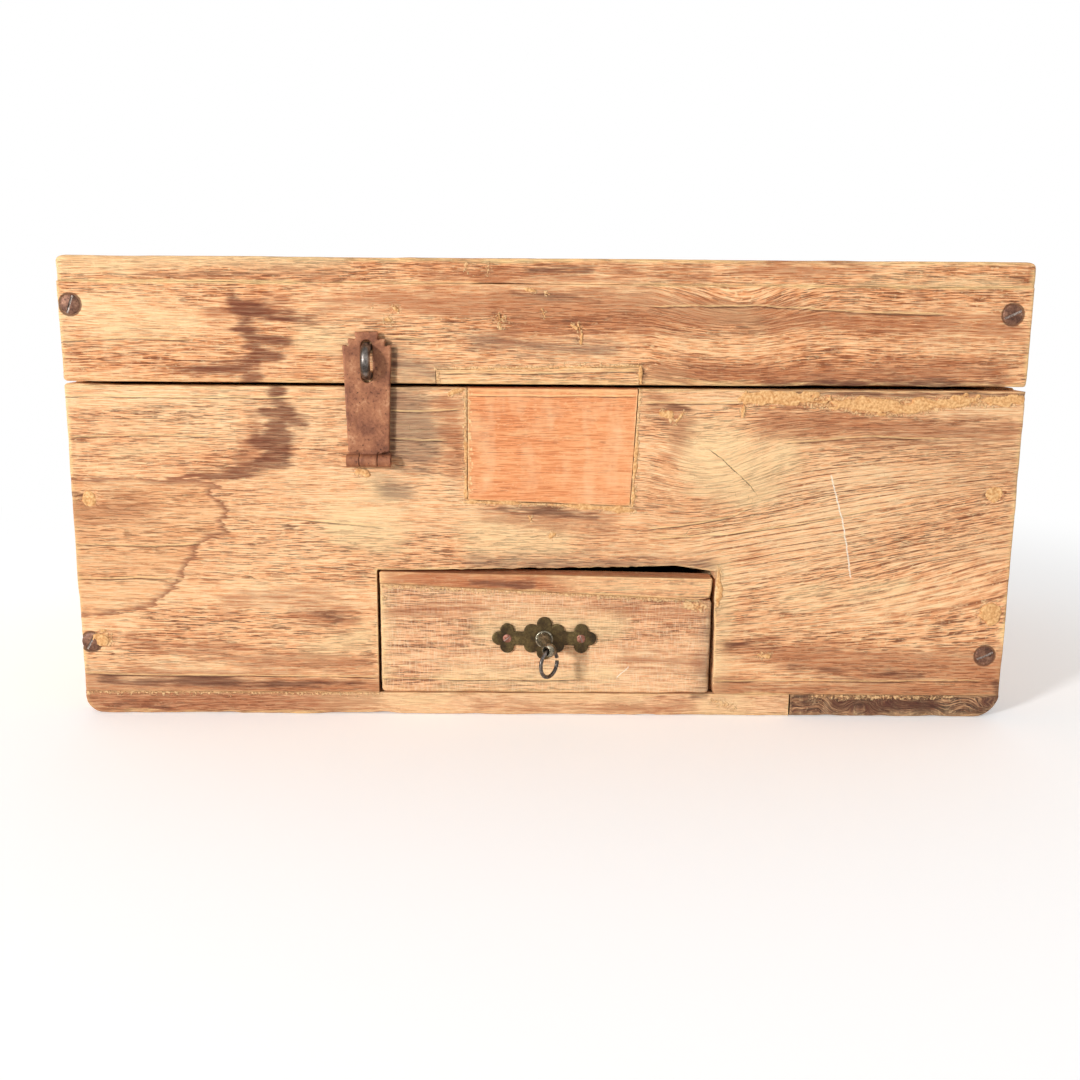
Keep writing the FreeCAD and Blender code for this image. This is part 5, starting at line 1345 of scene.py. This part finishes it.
def makePlug(group, seed):
    low, high = group.min(0), group.max(0)
    middle = (low + high) / 2
    reach = (high - low)[0] / 2
    look = plugLook

    def shape(points):
        x, y, z = (points - middle).T
        ragged = look["core"] + look["lumps"] * noise(points, look["lumpSize"], seed)
        ragged += look["crumbs"] * noise(points, look["crumbSize"], seed + 2)
        face = low[1] - points[:, 1] + look["sunk"] + look["rough"] * lumpy(points, look["roughSize"],
                                                                            seed + 1)
        back = points[:, 1] - high[1] - look["back"]
        return roundOff([np.hypot(x, z) - reach * ragged, face, back], look["edge"])

    start = (middle[0] - reach, low[1], middle[2] - reach)
    end = (middle[0] + reach, high[1], middle[2] + reach)
    return carve(cellLines(start, end, look["cells"], look["under"], look["over"]), shape, relaxings=2)


plugs = [makePlug(group, plugLook["seed"] + number) for number, group in enumerate(islands("putty_plugs"))]
makePiece("puttyPlugs", joinLumps(plugs), puttyMaterial, ["putty_plugs"])

# Crusts and seams of putty: crumbs that stand a little proud of the face
puttyLook = {  # mm
    "cell": 0.8, "proud": 0.5, "ragged": 3.0, "thin": 0.2, "under": 1.5, "rim": 1.8, "spare": 0.4,
    "narrow": 3, "lumpSize": 5.5, "crumbs": 0.5, "crumbSize": 1.8, "slope": 1.6, "riseSize": 2.6, "side": 0.6,
    "smear": (0.5, 0, 1), "openingGap": 0.3, "topGap": 0.6, "footGap": 0.5,
}


def makeCrust(stroke, face, keepOff, seed):
    spots = np.array(stroke, float)
    widest = spots[:, 2].max()
    reach = widest + puttyLook["rim"]
    ragged = puttyLook["ragged"] * min(1, widest / puttyLook["narrow"])  # narrow seams stay narrow

    def shape(points):
        x, y, z = points.T
        flat = points * puttyLook["smear"]  # crumbs smeared along the grain
        depth = strokeDepth(x, z, [stroke]) - puttyLook["thin"]
        crumbs = puttyLook["crumbs"] * noise(flat, puttyLook["crumbSize"], seed + 40)
        depth += ragged * (noise(flat, puttyLook["lumpSize"], seed) + crumbs)
        rise = np.clip(depth / puttyLook["slope"], 0, 1) * puttyLook["proud"]
        rise = rise * lumpy(flat, puttyLook["riseSize"], seed + 80)
        layer = np.maximum(face - rise - y, y - face - puttyLook["under"])
        return np.maximum(np.maximum(-depth * puttyLook["side"], keepOff(points)), layer)

    front = face - puttyLook["proud"] - puttyLook["spare"]
    back = face + puttyLook["under"] + puttyLook["spare"]
    lows = (spots[:, 0].min() - reach, front, spots[:, 1].min() - reach)
    highs = (spots[:, 0].max() + reach, back, spots[:, 1].max() + reach)
    counts = [2 + int((end - start) / puttyLook["cell"]) for start, end in zip(lows, highs)]
    return carve([np.linspace(*ends) for ends in zip(lows, highs, counts)], shape, pulls=3, relaxings=1)


def puttyCrumbs(name, body, strokes, face, keepOff, seed):
    crusts = [makeCrust(stroke, face, keepOff, seed + number) for number, stroke in enumerate(strokes)]
    makePiece(name, joinLumps(crusts), puttyMaterial, (), body=body, slot="wood_putty")
    print("putty", name, len(crusts))


def offFront(points):
    opening = frontCuts(points)[0] + puttyLook["openingGap"]
    return np.maximum(opening, points[:, 2] - frontHigh[2] + puttyLook["topGap"])


railLow = nodeBox("lid_front_rail")[0]
puttyCrumbs("basePuttyCrusts", "base", frontMarks["putty"], frontLow[1], offFront, 130)
puttyCrumbs("lidPuttyCrusts", "lid", railMarks["putty"], railLow[1],
            lambda points: railLow[2] + puttyLook["footGap"] - points[:, 2], 230)

# Hasp: a stepped strap with a slot for the staple, rolled into a knuckle at its foot
strapLow, strapHigh = nodeBox("hasp_strap")
pinLow, pinHigh = nodeBox("hasp_pin")
pinX, pinY, pinZ = (pinLow + pinHigh) / 2
hasp = {
    "back": -176.7, "thickness": 2.0, "barrel": 3.7, "knuckle": 5.2,  # mm
    "foot": 161.6, "shoulder": 223.6, "step": 227.4, "tip": 231.3,
    "halfFoot": 12.0, "halfShoulder": 14.1, "halfStep": 10.8, "halfTip": 6.8,
    "scallop": 0.8, "scallopOut": 0.3, "slotHalf": 3.1, "slotLow": 202.35, "slotHigh": 226.45,
    "cells": (0.7, 0.5, 0.7), "edge": 0.55, "barrelEdge": 0.5,
    "nicks": (3.2, 101), "nick": 0.35, "pits": (2.1, 102, 0.25), "pit": 0.22, "waves": (9, 103), "wave": 0.15,
}


def strapShape(points):
    x = np.abs(points[:, 0] - pinX)
    y, z = points[:, 1], points[:, 2]
    taper = np.interp(z, (hasp["foot"], hasp["shoulder"]), (hasp["halfFoot"], hasp["halfShoulder"]))
    plan = np.minimum(np.maximum(x - taper, z - hasp["shoulder"]),
                      np.maximum(x - hasp["halfStep"], z - hasp["step"]))
    nick = hasp["nick"] * pocks(points, *hasp["nicks"])
    plan = np.minimum(plan, np.maximum(x - hasp["halfTip"], z - hasp["tip"])) + nick
    for across, level in ((hasp["halfTip"], hasp["step"]), (hasp["halfStep"], hasp["shoulder"])):
        corner = np.hypot(x - across - hasp["scallopOut"], z - level - hasp["scallopOut"])
        plan = np.maximum(plan, hasp["scallop"] - corner)
    plan = np.maximum(plan, pinZ - z)
    plan = np.maximum(plan, np.where(z < hasp["foot"], x - hasp["knuckle"], -9))
    slotZ = np.clip(z, hasp["slotLow"] + hasp["slotHalf"], hasp["slotHigh"] - hasp["slotHalf"])
    slot = hasp["slotHalf"] - np.hypot(points[:, 0] - pinX, z - slotZ)
    pits = hasp["pit"] * pocks(points, *hasp["pits"]) + hasp["wave"] * lumpy(points, *hasp["waves"])
    plate = roundOff([plan, slot, y - hasp["back"], hasp["back"] - hasp["thickness"] - y], hasp["edge"])
    plate += pits * (y < hasp["back"] - 1)
    barrel = np.hypot(y - pinY, z - pinZ) - hasp["barrel"]
    return np.minimum(plate, roundOff([barrel, x - hasp["knuckle"]], hasp["barrelEdge"]))


strap = carve(cellLines(strapLow, strapHigh, hasp["cells"]), strapShape, relaxings=2)
makePiece("haspStrap", strap, metal["strap"], ["hasp_strap"])

# Drawer pull: lobed plate, post with an eye, wire ring left open at its ends
plateLow, plateHigh = nodeBox("pull_plate")
postLow, postHigh = nodeBox("pull_post")
pull = {
    "middle": (0.0, 49.1), "disc": 8.9, "lobe": 4.5, "endX": 22.4, "endDisc": 5.0, "endLobe": 4.2,  # mm
    "arm": 4.2, "eye": np.array((2.8, -193.0, 46.8)), "foot": np.array((0.0, -178.2, 49.1)), "ball": 4.4,
    "collar": 5.4, "neck": (4.7, 3.8, 3.5), "neckPlaces": (0, 0.35, 1), "hole": (1.9, 1.9, 4.1),
    "holePlaces": (0, 1.5, 6.2), "merge": 2.2, "ringRadius": 7.95, "wire": 1.15, "slack": 0.4, "cell": 0.55,
    "plateCell": 0.45, "dish": 0.25, "dishLumps": (9, 111), "dishReach": 14, "plateEdge": 0.45,
    "postEdge": 0.35, "swell": 0.25,
    "collarSink": 0.5, "collarEdge": 0.6, "eyeTurn": 52, "opening": 16, "openingPlace": 8,  # degrees
}
eyeTurn = math.radians(pull["eyeTurn"])
eyeLine = np.array([math.cos(eyeTurn), math.sin(eyeTurn), 0])
upLine = np.array([0, 0, 1])


def plateShape(points):
    x, z = points[:, 0] - pull["middle"][0], points[:, 2] - pull["middle"][1]
    end = np.abs(x) - pull["endX"]
    discs = [np.hypot(x, z) - pull["disc"], np.hypot(end, z) - pull["endDisc"]]
    for number in range(6):
        angle = math.radians(30 + 60 * number)
        lobeX, lobeZ = pull["disc"] * math.cos(angle), pull["disc"] * math.sin(angle)
        discs.append(np.hypot(x - lobeX, z - lobeZ) - pull["lobe"])
    for across, up in ((1, 0), (0, 1), (0, -1)):
        discs.append(np.hypot(end - across * pull["endDisc"], z - up * pull["endDisc"]) - pull["endLobe"])
    discs.append(np.maximum(np.abs(z) - pull["arm"], end))
    dish = pull["dish"] * lumpy(points, *pull["dishLumps"])
    dish += pull["dish"] * np.clip(np.hypot(x, z) / pull["dishReach"], 0, 1)
    front, back = plateLow[1] - points[:, 1] + dish, points[:, 1] - plateHigh[1]
    return roundOff([np.stack(discs).min(0), back, front], pull["plateEdge"])


plateCells = (pull["cell"], pull["plateCell"], pull["cell"])
plate = carve(cellLines(plateLow, plateHigh, plateCells, (0.4, 0.2, 0.4), (0.9, 0.5, 0.9)), plateShape,
              relaxings=3)
makePiece("pullPlate", plate, metal["brass"], ["pull_plate"])


def postShape(points):
    postLine = pull["eye"] - pull["foot"]
    length = np.linalg.norm(postLine)
    offset = points - pull["foot"]
    along = offset @ postLine / length
    wide = np.linalg.norm(offset - along[:, None] * postLine / length, axis=1)
    taper = np.interp(along / length, pull["neckPlaces"], pull["neck"])
    neck = np.maximum(wide - taper, np.maximum(-along - 1, along - length))
    fromEye = points - pull["eye"]
    ball = np.linalg.norm(fromEye, axis=1) - pull["ball"]
    solid = -np.log(np.exp(-neck * pull["merge"]) + np.exp(-ball * pull["merge"])) / pull["merge"]
    solid += pull["swell"]  # takes back what the blend adds
    collar = np.hypot(offset[:, 0], offset[:, 2]) - pull["collar"]
    collarEnds = [points[:, 1] - plateLow[1] - pull["collarSink"], pull["foot"][1] - points[:, 1]]
    collar = roundOff([collar, *collarEnds], pull["collarEdge"])
    run = fromEye @ eyeLine
    gap = np.linalg.norm(fromEye - run[:, None] * eyeLine, axis=1)
    hole = np.interp(np.abs(run), pull["holePlaces"], pull["hole"]) - gap
    return roundOff([np.minimum(solid, collar), hole], pull["postEdge"])


postEnd = np.minimum(postHigh, (postHigh[0], plateHigh[1], postHigh[2]))  # the tail is hidden
post = carve(cellLines(postLow, postEnd, (pull["cell"],) * 3), postShape, relaxings=3)
makePiece("pullPost", post, metal["post"], ["pull_post"])

ringSteps = 72
ringCurve = bpy.data.curves.new("pullRing", "CURVE")
ringCurve.dimensions = "3D"
ringCurve.bevel_depth = pull["wire"] * mm
ringCurve.bevel_resolution = 5
ringCurve.use_fill_caps = True
ringRun = ringCurve.splines.new("POLY")
ringRun.points.add(ringSteps)
ringMiddle = pull["eye"] - upLine * (pull["ringRadius"] + pull["slack"])
for number, point in enumerate(ringRun.points):
    turned = (360 - pull["opening"]) * number / ringSteps
    angle = math.radians(pull["openingPlace"] + pull["opening"] / 2 + turned)
    spot = ringMiddle + pull["ringRadius"] * (math.cos(angle) * eyeLine + math.sin(angle) * upLine)
    point.co = (*(spot * mm), 1)
ringHolder = bpy.data.objects.new("pullRingPath", ringCurve)
bpy.context.scene.collection.objects.link(ringHolder)
ringMesh = bpy.data.meshes.new_from_object(ringHolder.evaluated_get(bpy.context.evaluated_depsgraph_get()))
bpy.data.objects.remove(ringHolder)
ringMesh.materials.clear()
ringMesh.materials.append(metal["steel"])
ringMesh.shade_smooth()
placePiece("pullRing", ringMesh, ["pull_ring"])

# CAD nodes that keep their own shape
kept = {"hasp_leaf": "strap", "hasp_pin": "screw", "hasp_staple": "steel", "pull_rove": "brass"}
for side in ("left", "right"):
    kept.update({"hinge_%s_base_leaf" % side: "strap", "hinge_%s_lid_leaf" % side: "strap"})
    kept["hinge_%s_pin" % side] = "screw"
for name, finish in kept.items():
    keptMesh = frame["nodes"][name].data
    keptMesh.materials.clear()
    keptMesh.materials.append(metal[finish])
print("ironwork done")

# Floor, light and camera
stageLook = {
    "floor": "#fbfbfb", "floorRoughness": 0.9, "floorReach": 30, "lift": 0.24, "clearing": (0.36, 0.85),  # m
    "world": 0.30, "worldBehind": 0.95, "worldTurn": (-0.1, 0.5), "aim": (0, -0.1, 0.13),
}
lamps = {  # place in m, power in W, size in m
    "key": ((-3.43, -3.53, 1.34), 210.0, 0.6),
    "fill": ((1.6, -1.5, 1.6), 2.2, 1.5),
}
white = (1, 1, 1, 1)


def seenShare(tree, chain):
    # 1 for what the camera sees, straight, in gloss or through glass
    rays = node(tree, "ShaderNodeLightPath").outputs
    return chain("MAXIMUM", *(rays["Is %s Ray" % kind] for kind in ("Camera", "Glossy", "Transmission")))


floorReach = stageLook["floorReach"]
floorMesh = bpy.data.meshes.new("floor")
floorCorners = ((-1, -1), (1, -1), (1, 1), (-1, 1))
floorMesh.from_pydata([(x * floorReach, y * floorReach, 0) for x, y in floorCorners], [], [(0, 1, 2, 3)])
floor = bpy.data.objects.new("floor", floorMesh)
bpy.context.scene.collection.objects.link(floor)
floorMaterial, floorTree, floorShader = newMaterial("paleStudioFloor")
calc, chain, fade, lumps, tint, blend = shaderTools(floorTree)
join(floorTree, floorShader,
     {"Base Color": linear(stageLook["floor"]), "Roughness": stageLook["floorRoughness"]})
floorSpot = node(floorTree, "ShaderNodeTexCoord").outputs["Object"]
floorGap = node(floorTree, "ShaderNodeVectorMath", {0: floorSpot}, operation="LENGTH").outputs["Value"]
seen = seenShare(floorTree, chain)
clear = calc("MULTIPLY", seen, fade(floorGap, *stageLook["clearing"], kind="SMOOTHSTEP"))
lift = calc("MULTIPLY", seen, stageLook["lift"])
haze = node(floorTree, "ShaderNodeEmission", {"Color": white, "Strength": lift})
pale = node(floorTree, "ShaderNodeAddShader", {0: floorShader, 1: haze})
glow = node(floorTree, "ShaderNodeEmission", {"Color": white, "Strength": 1.0})
mixed = node(floorTree, "ShaderNodeMixShader", {0: clear, 1: pale, 2: glow})
join(floorTree, floorTree.nodes["Material Output"], {"Surface": mixed})
floorMesh.materials.append(floorMaterial)

world = bpy.data.worlds.new("studio")
bpy.context.scene.world = world
world.use_nodes = True
worldTree = world.node_tree
worldTree.nodes.clear()
calc, chain, fade, lumps, tint, blend = shaderTools(worldTree)
worldSpot = node(worldTree, "ShaderNodeTexCoord").outputs["Generated"]
behind = node(worldTree, "ShaderNodeSeparateXYZ", {0: worldSpot}).outputs["Y"]
ambient = fade(behind, *stageLook["worldTurn"], stageLook["world"], stageLook["worldBehind"])
strength = fade(seenShare(worldTree, chain), 0, 1, ambient, 1.0)
sky = node(worldTree, "ShaderNodeBackground", {"Color": white, "Strength": strength})
node(worldTree, "ShaderNodeOutputWorld", {"Surface": sky})

for name, (spot, power, size) in lamps.items():
    lamp = bpy.data.lights.new(name, "AREA")
    lamp.energy = power
    lamp.size = size
    lampObject = bpy.data.objects.new(name, lamp)
    lampObject.location = spot
    lampObject.rotation_euler = (Vector(stageLook["aim"]) - Vector(spot)).to_track_quat("-Z", "Y").to_euler()
    bpy.context.scene.collection.objects.link(lampObject)

photo = {
    "size": 1080, "focal": 1150,  # pixels
    "spot": (-8.0, -847.3, 243.3),  # mm
    "yaw": 0.43, "pitch": -11.24, "roll": -0.44,  # degrees
}
camera = bpy.data.cameras.new("photoCamera")
camera.sensor_width = 36
camera.lens = camera.sensor_width * photo["focal"] / photo["size"]
camera.clip_start = 0.01
cameraObject = bpy.data.objects.new("photoCamera", camera)
bpy.context.scene.collection.objects.link(cameraObject)
yaw, pitch, roll = (math.radians(photo[key]) for key in ("yaw", "pitch", "roll"))
ahead = Vector((math.sin(yaw) * math.cos(pitch), math.cos(yaw) * math.cos(pitch), math.sin(pitch)))
right = Vector((math.cos(yaw), -math.sin(yaw), 0))
up = right.cross(ahead)
rolledRight = right * math.cos(roll) - up * math.sin(roll)
rolledUp = right * math.sin(roll) + up * math.cos(roll)
turn = Matrix((rolledRight, rolledUp, -ahead)).transposed()
cameraObject.matrix_world = Matrix.Translation(Vector(photo["spot"]) * mm) @ turn.to_4x4()
bpy.context.scene.camera = cameraObject
bpy.context.scene.view_settings.view_transform = "Standard"
